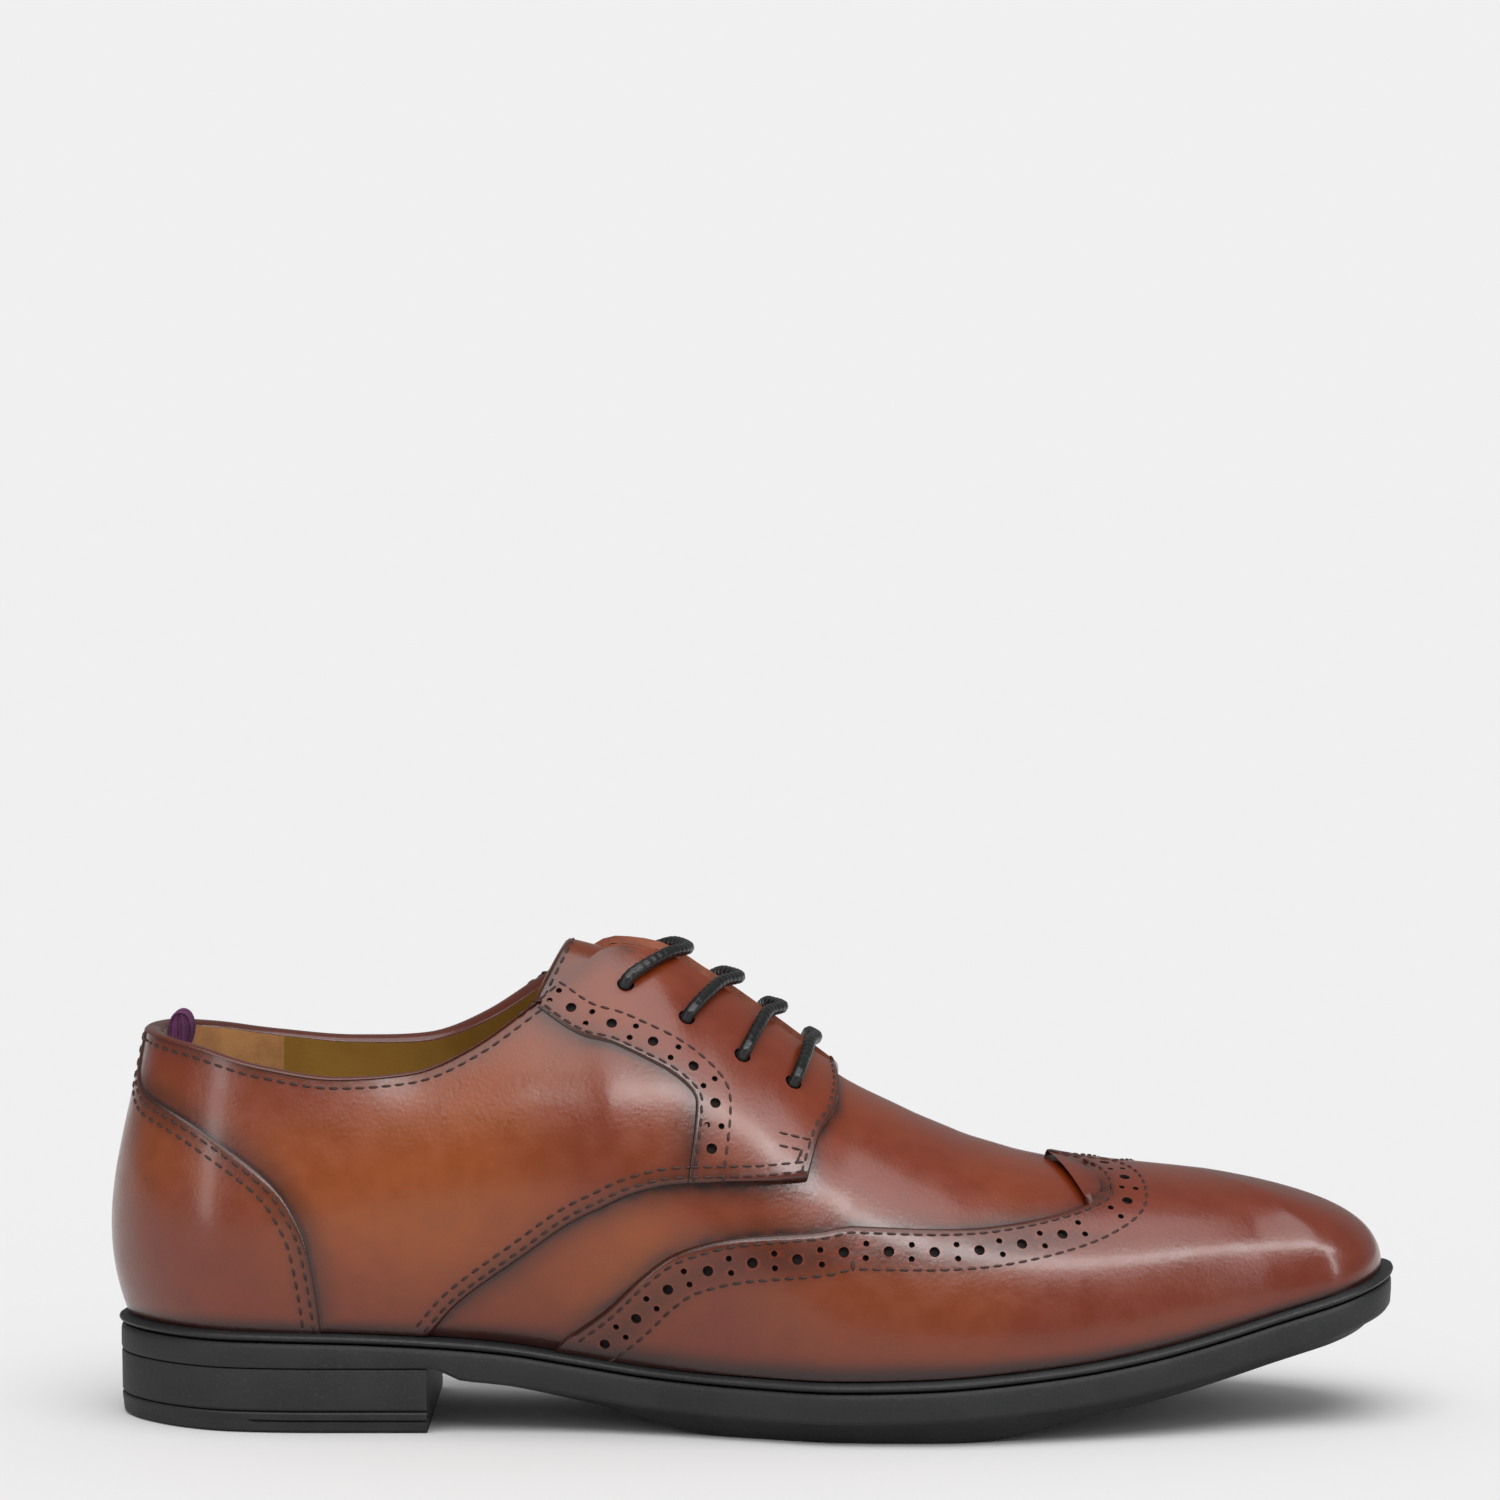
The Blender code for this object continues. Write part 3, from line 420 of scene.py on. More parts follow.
def add_piece(name, data, materials, replaced=()):
    """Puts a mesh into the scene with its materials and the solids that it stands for."""
    piece = bpy.data.objects.new(name, data)
    bpy.context.scene.collection.objects.link(piece)
    for material in materials:
        data.materials.append(material)
    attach(piece, "root")
    if replaced:
        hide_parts(*replaced)
    return piece


def nearest(points, curve, skip=5):
    """Distance from each point to the nearest stretch of a closely read curve.

    For a stretch from a along d, the foot of the point p lies at the share (p - a) . d / d . d, kept
    between 0 and 1.
    """
    flat = points.reshape(-1, 3)
    knots = np.concatenate([curve[:-1:skip], curve[-1:]])
    best = np.full(len(flat), np.inf)
    for start, step in zip(knots[:-1], np.diff(knots, axis=0)):
        share = np.clip((flat - start) @ step / (step @ step + 1e-18), 0, 1)
        best = np.minimum(best, np.linalg.norm(flat - start - share[:, None] * step, axis=1))
    return best.reshape(points.shape[:-1])


def fade(distance, reach):
    """1 on a line, falling softly to 0 at the reach: exp(-(distance / reach)^2)."""
    return np.exp(-(distance / reach) ** 2)


def spread(count, edge):
    """Steps from 0 to 1: even ones between, and four closer ones within 1.6 edge of each end."""
    close = np.array([0.0, 0.25, 0.6, 1.0, 1.6]) * edge
    far = 1 - close[::-1]
    return np.concatenate([close[:-1], np.linspace(close[-1], far[0], count), far[1:]])


def path_points(edge, climbs, count=500):
    """A panel edge as stations and heights, read closely."""
    u = np.linspace(0, 1, count)
    if climbs:
        height = edge[0][1] + (1 - edge[0][1]) * u
        return edge_at_height(edge, height), height
    return curve_through(edge, u)


def steps_on_skin(side, s, t):
    """The skin's points, and how they move with the station and with the height: central differences."""
    s_up, s_down = np.minimum(s + STEP, 1), np.maximum(s - STEP, 0)
    t_up, t_down = np.minimum(t + STEP, 1), np.maximum(t - STEP, 0)
    by_s = (skin(side, s_up, t) - skin(side, s_down, t)) / (s_up - s_down)[..., None]
    by_t = (skin(side, s, t_up) - skin(side, s, t_down)) / (t_up - t_down)[..., None]
    return skin(side, s, t), by_s, by_t


def moved_line(side, line, distance, toward, stride=0.0012):
    """A line on the skin moved along it by a distance, square to itself.

    toward: which way, as steps of station and height. Each stride d solves
    ds * P_s + dt * P_t = d * across in the surface's own two directions.
    """
    s, t = (np.array(a, float) for a in line)
    count = max(int(np.ceil(abs(distance) / stride)), 1)
    for _ in range(count):
        here, by_s, by_t = steps_on_skin(side, s, t)
        along = np.gradient(here, axis=0)
        across = unit(np.cross(np.cross(by_s, by_t), along))
        hint = by_s * toward[0] + by_t * toward[1]
        across *= np.sign((across * hint).sum(-1).mean()) * distance / count
        a, b, c = (by_s ** 2).sum(-1), (by_s * by_t).sum(-1), (by_t ** 2).sum(-1)
        p, q = (by_s * across).sum(-1), (by_t * across).sum(-1)
        det = a * c - b * b + 1e-18
        s = np.clip(s + (c * p - b * q) / det, 0, 1)
        t = np.clip(t + (a * q - b * p) / det, 0, 1)
    return s, t


def run_length(points):
    """Distance along a path to each of its points: the sum of the steps before it."""
    return np.append(0, np.cumsum(np.linalg.norm(np.diff(points, axis=0), axis=1)))


def read_along(values, length, at):
    """Points or directions of a path, read at distances along it."""
    return np.stack([np.interp(at, length, values[:, i]) for i in range(3)], -1)


def even_places(side, line, pitch, start=0.5, end=0.5):
    """Stations and heights along a line on the skin, about one pitch apart.

    start and end: how far the first and the last place lie from the line's ends, in pitches.
    """
    length = run_length(skin(side, *line))
    count = max(int(round(length[-1] / pitch)), 2)
    at = (np.arange(count) + start) * length[-1] / (count - 1 + start + end)
    return np.interp(at, length, line[0]), np.interp(at, length, line[1])


# Materials
def colour(text):
    """sRGB hex to linear."""
    value = np.array([int(text[i:i + 2], 16) for i in (0, 2, 4)]) / 255
    return (*np.where(value <= 0.04045, value / 12.92, ((value + 0.055) / 1.055) ** 2.4), 1.0)


def node(tree, kind, inputs=(), **settings):
    """One shader node; each input is a constant or another node's output."""
    made = tree.nodes.new("ShaderNode" + kind)
    for key, value in settings.items():
        setattr(made, key, value)
    for key, value in dict(inputs).items():
        if isinstance(value, bpy.types.NodeSocket):
            tree.links.new(value, made.inputs[key])
        else:
            made.inputs[key].default_value = value
    return made


def mix(tree, factor, first, second):
    """Two colours mixed by a factor."""
    return node(tree, "Mix", {0: factor, 6: first, 7: second}, data_type="RGBA").outputs[2]


def ramp(tree, value, low, high, to_low=0.0, to_high=1.0):
    """Soft step from to_low, where the value is low, to to_high, where it is high."""
    return node(tree, "MapRange", {"Value": value, "From Min": low, "From Max": high, "To Min": to_low,
                                   "To Max": to_high}, interpolation_type="SMOOTHSTEP").outputs[0]


def new_material(name):
    """A new material, its nodes, its shader and the Object coordinates that its patterns follow."""
    made = bpy.data.materials.new(name)
    made.use_nodes = True
    tree = made.node_tree
    shader = tree.nodes["Principled BSDF"]
    where = node(tree, "TexCoord").outputs["Object"]
    return made, tree, shader, where


def noise(tree, where, size, detail=2.0, kind="Fac"):
    """Noise whose features measure about a size in metres."""
    return node(tree, "TexNoise", {"Vector": where, "Scale": 1 / size, "Detail": detail}).outputs[kind]


def attribute(tree, name):
    """A value stored on each point of the piece's mesh."""
    return node(tree, "Attribute", attribute_name=name).outputs["Fac"]


def maths(tree, operation, first, second):
    """One sum, difference or product."""
    return node(tree, "Math", {0: first, 1: second}, operation=operation).outputs[0]


CLOUD = 0.035              # clouds of the hand-rubbed polish
RUB = 0.0060               # its finer rubbing marks
PEBBLE = 0.0011            # one pebble of the grain, drawn twice as coarse as calf's so that it shows
PORE = 0.0006              # hair pores between the pebbles
CRUMB = 0.0007             # rubber crumb in the moulded sole


def leather(name, red, tan, dark, tan_share=1.0):
    """Aniline calf, hand burnished: tan under red-brown under a dark polish, which also stands for painted
    shade, with a fine pebbled grain.
    """
    made, tree, shader, where = new_material(name)
    cloud = noise(tree, where, CLOUD, 2.0)
    fine = noise(tree, where, RUB, 2.0)
    share = maths(tree, "MULTIPLY", attribute(tree, "tan"), tan_share)
    share = maths(tree, "ADD", share, ramp(tree, cloud, 0.35, 0.65, -0.10, 0.10))
    base = mix(tree, ramp(tree, share, 0.05, 0.95), colour(red), colour(tan))
    # The dark mixed in by this attribute is burnish, and painted shade along the welt, in the seams' crevices
    # and along the wing's holes
    burn = maths(tree, "ADD", attribute(tree, "burn"), ramp(tree, cloud, 0.40, 0.70, -0.06, 0.06))
    base = mix(tree, ramp(tree, burn, 0.0, 1.0), base, colour(dark))
    base = mix(tree, ramp(tree, fine, 0.30, 0.70, 0.10, 0.0), base, colour(dark))
    grain = node(tree, "TexVoronoi", {"Vector": where, "Scale": 1 / PEBBLE, "Smoothness": 0.7},
                 feature="SMOOTH_F1").outputs["Distance"]
    pores = noise(tree, where, PORE, 3.0)
    height = maths(tree, "ADD", maths(tree, "MULTIPLY", grain, -0.6), maths(tree, "MULTIPLY", pores, 0.5))
    bump = node(tree, "Bump", {"Height": height, "Strength": 0.22, "Distance": 0.00025}).outputs[0]
    tree.links.new(base, shader.inputs["Base Color"])
    tree.links.new(ramp(tree, fine, 0.25, 0.75, 0.26, 0.36), shader.inputs["Roughness"])
    tree.links.new(bump, shader.inputs["Normal"])
    shader.inputs["Coat Weight"].default_value = 0.35
    shader.inputs["Coat Roughness"].default_value = 0.16
    return made


def plain(name, main, other, size, roughness, bump_size=0.0008, bump=0.3, sheen=0.0, depth=0.0002):
    """One stuff with a soft change of colour over size and a fine relief of bump_size."""
    made, tree, shader, where = new_material(name)
    base = mix(tree, ramp(tree, noise(tree, where, size, 3.0), 0.35, 0.65), colour(main), colour(other))
    relief = node(tree, "Bump", {"Height": noise(tree, where, bump_size, 3.0), "Strength": bump,
                                 "Distance": depth}).outputs[0]
    tree.links.new(base, shader.inputs["Base Color"])
    tree.links.new(relief, shader.inputs["Normal"])
    shader.inputs["Roughness"].default_value = roughness
    shader.inputs["Sheen Weight"].default_value = sheen
    return made


def speckled(name, main, speck, roughness):
    """Moulded crumb rubber: matt, with fine lighter specks."""
    made, tree, shader, where = new_material(name)
    dots = ramp(tree, noise(tree, where, CRUMB, 2.0), 0.60, 0.72)
    patches = ramp(tree, noise(tree, where, 0.012, 2.0), 0.3, 0.7, 0.0, 0.35)
    base = mix(tree, patches, mix(tree, dots, colour(main), colour(speck)), colour(speck))
    relief = node(tree, "Bump", {"Height": noise(tree, where, 0.0009, 3.0), "Strength": 0.45,
                                 "Distance": 0.00025}).outputs[0]
    tree.links.new(base, shader.inputs["Base Color"])
    tree.links.new(relief, shader.inputs["Normal"])
    shader.inputs["Roughness"].default_value = roughness
    return made


# Calf rubbed by hand: each panel is tan in its middle and dark at its edges, from burnish and from painted
# shade, under a soft shine
LEATHER = leather("burnished aniline calf leather with painted shade", "68240A", "823C09", "230904")
# The same calf, polished darker at the toe, so that less of the tan shows
CAP_LEATHER = leather("burnished aniline calf leather, darker toe", "64220B", "793609", "230904", 0.8)
# Painted shade: the tongue's colours are darker for the shade of the facings over it, and it is rubbed least
TONGUE_LEATHER = leather("aniline calf leather tongue with painted shade", "662509", "763509", "260A04")
# Where leather is cut and only stained, it is matt and a little lighter than its face
CUT_EDGE = plain("raw cut leather edge", "7E3F22", "6A3018", 0.004, 0.7)
# Painted shade: the inside of a punched hole is coloured near black for the shade in it
HOLE_SHADE = plain("punched hole, painted shade", "150906", "1C0D08", 0.01, 0.9)
# The heel is lined with the flesh side, whose nap catches light at a slant
SUEDE = plain("suede heel lining", "9C6A38", "B07C46", 0.006, 0.95, 0.0006, 0.5, 0.4)
# The rest of the lining is smooth and yellower, with a dull shine
LINING = plain("smooth calf lining", "8A6524", "9A722E", 0.02, 0.55)
# The sock under the foot is the same calf, less yellow
SOCK = plain("calf sock lining", "93683A", "A47844", 0.02, 0.6)
# Waxed thread, a shade darker than the burnished edge it runs beside
THREAD = plain("waxed linen thread", "2A110B", "38180F", 0.004, 0.6)
# Black rubber from a mould: even and matt, with grey crumb; the welt has a little more shine
RUBBER = speckled("moulded rubber outsole", "101112", "222324", 0.60)
WELT_RUBBER = speckled("moulded rubber welt", "0F1011", "1E1F20", 0.50)
# The loop's tape is dull, and its ribs are in its shape
TAPE = plain("woven ribbed loop tape", "42193A", "55244A", 0.003, 0.85)
# Waxed cotton: near black, with a narrow bright line along the braid
LACE = plain("waxed braided cotton lace", "060607", "0E0E0F", 0.003, 0.34)


# The upper
QUARTER_OUT = 0.0017       # outer face of the quarters and the wing cap above the vamp
FACING_OUT = 0.0023        # outer face of the facings and the heel counter
TUCK = 0.0028              # how far a panel runs on below the one over it
FOLD = 0.0013              # radius of a folded edge
UNDER_LIFT = 0.00006       # a panel's under face, just off the upper
PANEL_FOOT = 0.004         # share of the section where the wing cap and the heel counter start
QUARTER_FOOT = 0.006       # and where the quarters start
SUEDE_END = 0.044          # suede heel lining, from the back
COUNTER_LINE = path_points(COUNTER_EDGE, True)
FACING_LINE = path_points(FACING_REAR, True)
FRONT_LINE = path_points(FACING_FRONT, False)
LOW_EDGE = QUARTER_LOWER[:-1] + ((0.446, 0.435), (0.494, 0.480), FACING_FRONT[0])
LOW_LINE = curve_through(LOW_EDGE, np.linspace(0, 1, 500))
WING_LINE = curve_through(WING_EDGE[:WING_PEAK + 1], np.linspace(0, 1, 700))
WING_SIDE = 380            # points of the wing's line along the side, before it climbs to the peak
SIDES = ((-1, "outer"), (1, "inner"))
# The walking creases: place, depth and width
CREASES = ((0.625, 0.00014, 0.014), (0.665, 0.00018, 0.013), (0.705, 0.00012, 0.012))
# The burnish along each seam: its line, its darkness and how far it reaches
SEAM_BURN = ((COUNTER_LINE, 0.55, 0.0060), (LOW_LINE, 0.55, 0.0055), (FACING_LINE, 0.45, 0.0060),
             (FRONT_LINE, 0.30, 0.0040), (WING_LINE, 0.50, 0.0055))
CREVICE_SHADE = 0.85        # painted shade: a dark line right beside it, in the seam's crevice
CREVICE_REACH = 0.0016
SECTION_RUN = 0.075        # about the way from the welt up to the ridge, and up to the collar
COLLAR_RUN = 0.085
TAN_BASE = 0.22
# Where the tan shows through: its strength, then its place and reach along the shoe and up the section
TAN_SPOTS = ((0.80, 0.25, 0.11, 0.58, 0.38), (0.65, 0.40, 0.07, 0.24, 0.16), (0.45, 0.60, 0.14, 0.25, 0.16),
             (0.35, 0.06, 0.06, 0.60, 0.25))


def creases(s, t):
    """Soft walking creases across the vamp, where the foot bends: troughs of depth exp(-(x / width)^2)."""
    share = foot_share(s)
    depth = np.zeros_like(share)
    for place, height, width in CREASES:
        bend = place + 0.03 * (1 - t) ** 2
        depth -= height * np.exp(-((share - bend) / width) ** 2) * np.clip(t * 1.6 - 0.35, 0, 1)
    return depth


def tints(side, s, t, points):
    """Darkness by the seams, edges, toe and sole: burnish, with painted shade in the seams' crevices, along
    the sole and along the wing's holes; and the tan that is left in the panels' middles.

    The darkness, burnish and painted shade, is the strongest of its parts, each a strength times
    exp(-(distance / reach)^2).
    """
    share = foot_share(s)
    near = [nearest(points, skin(side, *line)) for line, _, _ in SEAM_BURN]
    # Painted shade: a dark line in the crevice along every seam
    burn = CREVICE_SHADE * fade(np.minimum.reduce(near), CREVICE_REACH)
    for distance, (_, strength, reach) in zip(near, SEAM_BURN):
        burn = np.maximum(burn, strength * fade(distance, reach))
    wing_height = np.interp(share, foot_share(WING_LINE[0][:WING_SIDE]), WING_LINE[1][:WING_SIDE])
    # Painted shade along the wing's row of punched holes, on the cap and on the vamp under it
    burn = np.maximum(burn, np.where(wing_height > t, 0.55 * fade(near[-1] - 0.006, 0.006), 0))
    # Painted shade along the feather, where the upper meets the welt
    burn = np.maximum(burn, fade(t * SECTION_RUN, 0.0040))
    burn = np.maximum(burn, 0.30 * np.clip((share - 0.80) / 0.20, 0, 1))
    burn = np.maximum(burn, 0.40 * np.clip((0.07 - share) / 0.07, 0, 1))
    collar = np.where(share < 0.42, fade((1 - t) * COLLAR_RUN, 0.005), 0)
    burn = np.maximum(burn, 0.45 * collar)
    tan = np.full_like(share, TAN_BASE)
    for strength, place, length, height, rise in TAN_SPOTS:
        spot = np.exp(-((share - place) / length) ** 2 - ((t - height) / rise) ** 2)
        tan = np.maximum(tan, TAN_BASE + strength * spot)
    return dict(burn=np.clip(burn, 0, 1), tan=np.clip(tan, 0, 1))


def folded(distance, top, bottom, radius=FOLD):
    """Height of a folded edge, a quarter round: b + (a - b) sqrt(1 - (1 - d / r)^2)."""
    reach = np.clip(distance / radius, 0, 1)
    return bottom + (top - bottom) * np.sqrt(1 - (1 - reach) ** 2)


def shell(build, side, s, t, outer, rims=(0, 0, 0, 0), open_from=None):
    """Panel with an outer face, an under face and rims: the skin, moved along its outward direction.

    rims: the material of the rim along the first row, the last row, the first column and the last
    column, or None where two panels join. open_from: the row where the last column's rim ends.
    """
    middle = skin(side, s, t)
    normal = skin_normal(np.full_like(s, side), s, t)
    top = middle + (outer + creases(s, t))[..., None] * normal
    under = middle + (UNDER_LIFT + creases(s, t))[..., None] * normal
    values = tints(side, s, t, middle)
    build.grid(top, **values)
    build.grid(under, **values)
    for slot, pick in zip(rims, (np.s_[0, :], np.s_[-1, :], np.s_[:, 0], np.s_[:open_from, -1])):
        if slot is not None:
            edge = {key: np.stack([value[pick]] * 2) for key, value in values.items()}
            build.grid(np.stack([top[pick], under[pick]]), slot=slot, **edge)


def make_upper():
    """The vamp and the lining: the skin, and the same skin one wall further in.

    The inner face is suede up to its line and smooth from there, and a cut edge joins both faces along
    the opening.
    """
    build = Build()
    suede_at = station(SUEDE_END / LENGTH)
    throat_at = station(THROAT_FOOT)
    s = np.sort(np.append(np.linspace(0, 1, 170), [suede_at, throat_at]))
    t = np.linspace(0, 1, 46)
    throat = int(np.argmin(np.abs(s - throat_at)))
    suede = int(np.argmin(np.abs(s - suede_at)))
    for side in (-1, 1):
        gs, gt = np.meshgrid(s, t, indexing="ij")
        normal = skin_normal(np.full_like(gs, side), gs, gt)
        middle = skin(side, gs, gt)
        crease = creases(gs, gt)[..., None] * normal
        outer = middle + crease
        inner = middle - UPPER_WALL * normal + crease
        values = tints(side, gs, gt, middle)
        build.grid(outer, slot=0, **values)
        build.grid(inner[:suede + 1], slot=1)
        build.grid(inner[suede:], slot=2)
        # Painted shade: the rim along the feather is fully dark for the shade where the upper meets the welt
        build.grid(np.stack([outer[:, 0], inner[:, 0]]), slot=0, burn=1.0)
        build.grid(np.stack([outer[:throat + 1, -1], inner[:throat + 1, -1]]), slot=3)
    add_piece("upper_shell", build.mesh("upper_shell"), [LEATHER, SUEDE, LINING, CUT_EDGE], ["upper"])


def collar_roll():
    """Rolled top of the collar, from the inner face over to the quarters.

    A flat arch is carried along the edge: across by half the wall times cos(a), up by sin(a).
    """
    build = Build()
    s = np.linspace(0, station(COLLAR_END), 90)
    a = np.linspace(0, np.pi, 13)
    for side in (-1, 1):
        gs, ga = np.meshgrid(s, a, indexing="ij")
        high = np.ones_like(gs)
        normal = skin_normal(np.full_like(gs, side), gs, high)
        middle, _, rise = steps_on_skin(side, gs, high)
        rise = unit(rise)
        across = (FACING_OUT - UPPER_WALL) / 2 + (FACING_OUT + UPPER_WALL) / 2 * np.cos(ga)
        lift = 0.0011 * np.sin(ga)
        points = middle + across[..., None] * normal + (lift - 0.0002)[..., None] * rise
        build.grid(points, burn=0.55)
        build.grid(points[:, [0, -1]], burn=0.55)
    add_piece("collar_binding", build.mesh("collar_binding"), [LEATHER], ())


def panel_grid(rear, front, columns, edge):
    """Stations and heights between two edges, rear (1 - a) + front a, closer together near both."""
    across = spread(columns, edge)[:, None]
    return tuple(np.asarray(a) * (1 - across) + np.asarray(b) * across for a, b in zip(rear, front))


def make_quarters():
    """The quarters, from under the heel counter to the seam on the vamp and on under the facing.

    Their lower half ends at the seam with a folded edge, and their upper half is tucked under.
    """
    for side, suffix in SIDES:
        build = Build()
        rows = spread(64, 0.012)
        rear_t = QUARTER_FOOT + (1 - QUARTER_FOOT) * rows
        rear = edge_at_height(moved_edge(COUNTER_EDGE, -TUCK), rear_t), rear_t
        half = len(rows) // 2
        low_s, low_t = curve_through(QUARTER_LOWER, np.linspace(0, 1, half + 1))
        corner = QUARTER_LOWER[-1][1]
        high_t = corner + (1 - corner) * np.linspace(0, 1, len(rows) - half)
        high_s = edge_at_height(moved_edge(FACING_REAR, TUCK), high_t)
        front = np.append(low_s, high_s[1:]), np.append(np.maximum(low_t, QUARTER_FOOT), high_t[1:])
        s, t = panel_grid(rear, front, 60, 0.012)
        outer = folded(nearest(skin(side, s, t), skin(side, *LOW_LINE)), QUARTER_OUT, 0.0001)
        shell(build, side, s, t, outer)
        name = f"quarter_visual_{suffix}"
        add_piece(name, build.mesh(name), [LEATHER], [f"quarter_{suffix}"])


def make_facings():
    """The lace facings, folded along the quarter and the vamp and cut along the throat."""
    made = []
    for side, suffix in SIDES:
        build = Build()
        rows = spread(40, 0.02)
        rear_t = FACING_REAR[0][1] + (1 - FACING_REAR[0][1]) * rows
        rear = edge_at_height(FACING_REAR, rear_t), rear_t
        front = curve_through(FACING_FRONT, rows)
        s, t = panel_grid(rear, front, 26, 0.02)
        points = skin(side, s, t)
        outer = folded(nearest(points, skin(side, *FACING_LINE)), FACING_OUT, QUARTER_OUT - 0.0002, 0.0010)
        outer = np.minimum(outer, folded(nearest(points, skin(side, *LOW_LINE)), FACING_OUT, 0.0001))
        throat = nearest(points, skin(side, *FRONT_LINE))
        outer = np.minimum(outer, folded(throat, FACING_OUT, 0.0012, 0.0006))
        shell(build, side, s, t, outer, (0, 2, 0, 2))
        name = f"facing_visual_{suffix}"
        materials = [LEATHER, HOLE_SHADE, CUT_EDGE]
        made.append(add_piece(name, build.mesh(name), materials, [f"facing_{suffix}"]))
    return made


def make_wrapped(name, cad, s, t, outer, rims, open_from, materials):
    """Panel that runs round the shoe's middle line: one shell a side, merged on the middle line."""
    build = Build()
    for side, lift in zip((-1, 1), outer):
        shell(build, side, s, t, lift, rims, open_from)
    return add_piece(name, build.mesh(name), materials, [cad])


def make_wing_cap():
    """The wing cap: columns that run from its foot by the welt, foot (1 - a) + edge a, up to its edge.

    Each span between two points of the edge has as many rows, so that the peak lies on a row.
    """
    knots = np.linspace(0, 1, len(WING_EDGE))
    per_span = 9
    u = np.linspace(0, 1, per_span * (len(WING_EDGE) - 1) + 1)
    feather_s = station(smooth(u, knots, WING_FEATHER))
    edge_s, edge_t = curve_through(WING_EDGE, u)
    up = spread(36, 0.014)[None, :]
    s = feather_s[:, None] * (1 - up) + edge_s[:, None] * up
    t = PANEL_FOOT + (np.maximum(edge_t[:, None], PANEL_FOOT) - PANEL_FOOT) * up
    lifts = [folded(nearest(skin(side, s, t), skin(side, *WING_LINE)), QUARTER_OUT, 0.0001)
             for side in (-1, 1)]
    return make_wrapped("wing_cap_visual", "wing_cap", s, t, lifts, (0, None, 0, 0), per_span * WING_PEAK + 1,
                        [CAP_LEATHER, HOLE_SHADE])


def make_heel_counter():
    """The heel counter: rows from its edge, edge (1 - a), back to the middle of the heel."""
    edge_t = PANEL_FOOT + (1 - PANEL_FOOT) * spread(60, 0.012)
    edge_s = edge_at_height(COUNTER_EDGE, edge_t)
    across = 1 - spread(36, 0.014)[:, None]
    s = edge_s[None, :] * across
    t = np.broadcast_to(edge_t, s.shape).copy()
    lifts = [folded(nearest(skin(side, s, t), skin(side, *COUNTER_LINE)), FACING_OUT, QUARTER_OUT - 0.0003)
             for side in (-1, 1)]
    make_wrapped("heel_counter_visual", "heel_counter", s, t, lifts, (0, None, 0, 0), None,
                 [LEATHER])


# Punched holes
BIG_HOLE = 0.0013          # radii
SMALL_HOLE = 0.00075
PAIR_APART = 0.0034        # between the two small holes of a pair
HOLE_PITCH = 0.0110
HOLE_DEPTH = 0.0013
HOLE_ABOVE = 0.002         # how far a cutter stands above the leather's face
HOLE_APART = 0.0002        # least leather left between two holes
EYELET_HOLE = 0.0021


def hole_cutter(name, holes):
    """Blind cylinders square to the skin: (side, s, t, height of the leather's face, radius) each.

    A rim is centre + radius (cos(a) first + sin(a) second), in two directions square to the skin's own.
    """
    corners = 18
    a = np.linspace(0, 2 * np.pi, corners, endpoint=False)
    points, faces = [], []
    for side, s, t, face, radius in holes:
        s, t = np.atleast_1d(s), np.atleast_1d(t)
        centre = skin(side, s, t)[0]
        normal = skin_normal(np.full_like(s, side), s, t)[0]
        first = unit(np.cross(normal, [0.0, 0.3, 1.0]))
        second = np.cross(normal, first)
        ring = radius * (np.cos(a)[:, None] * first + np.sin(a)[:, None] * second)
        start = len(points) * 2 * corners
        points.append(np.concatenate([centre + ring + (face + HOLE_ABOVE) * normal,
                                      centre + ring + (face - HOLE_DEPTH) * normal]))
        index = np.arange(corners)
        after = (index + 1) % corners
        sides = np.stack([index, after, after + corners, index + corners], -1) + start
        faces += sides.tolist() + [(index[::-1] + start).tolist(), (index + corners + start).tolist()]
    data = bpy.data.meshes.new(name)
    data.from_pydata(to_frame(np.concatenate(points)).tolist(), [], faces)
    bm = bmesh.new()
    bm.from_mesh(data)
    bmesh.ops.recalc_face_normals(bm, faces=bm.faces)
    bm.to_mesh(data)
    bm.free()
    data.polygons.foreach_set("material_index", np.ones(len(faces), np.int32))
    cutter = bpy.data.objects.new(name, data)
    bpy.context.scene.collection.objects.link(cutter)
    data.materials.append(LEATHER)
    data.materials.append(HOLE_SHADE)
    return cutter


def apart(holes):
    """The holes that don't run into one already listed."""
    kept, centres = [], []
    for hole in holes:
        centre = skin(*hole[:3])
        clear = all(np.linalg.norm(centre - c) > hole[4] + r + HOLE_APART for c, r in centres)
        if clear:
            kept.append(hole)
            centres.append((centre, hole[4]))
    return kept


def punch(piece, holes):
    """Cuts the holes into the piece's mesh and keeps the cut mesh."""
    holes = apart(holes)
    cutter = hole_cutter("punch", holes)
    cut = piece.modifiers.new("punch", "BOOLEAN")
    cut.operation = "DIFFERENCE"
    cut.solver = "EXACT"
    cut.object = cutter
    graph = bpy.context.evaluated_depsgraph_get()
    made = bpy.data.meshes.new_from_object(piece.evaluated_get(graph), depsgraph=graph)
    piece.modifiers.clear()
    old = piece.data
    made.name = old.name
    piece.data = made
    bpy.data.meshes.remove(old)
    bpy.data.objects.remove(cutter)
    piece.data.set_sharp_from_angle(angle=0.7)


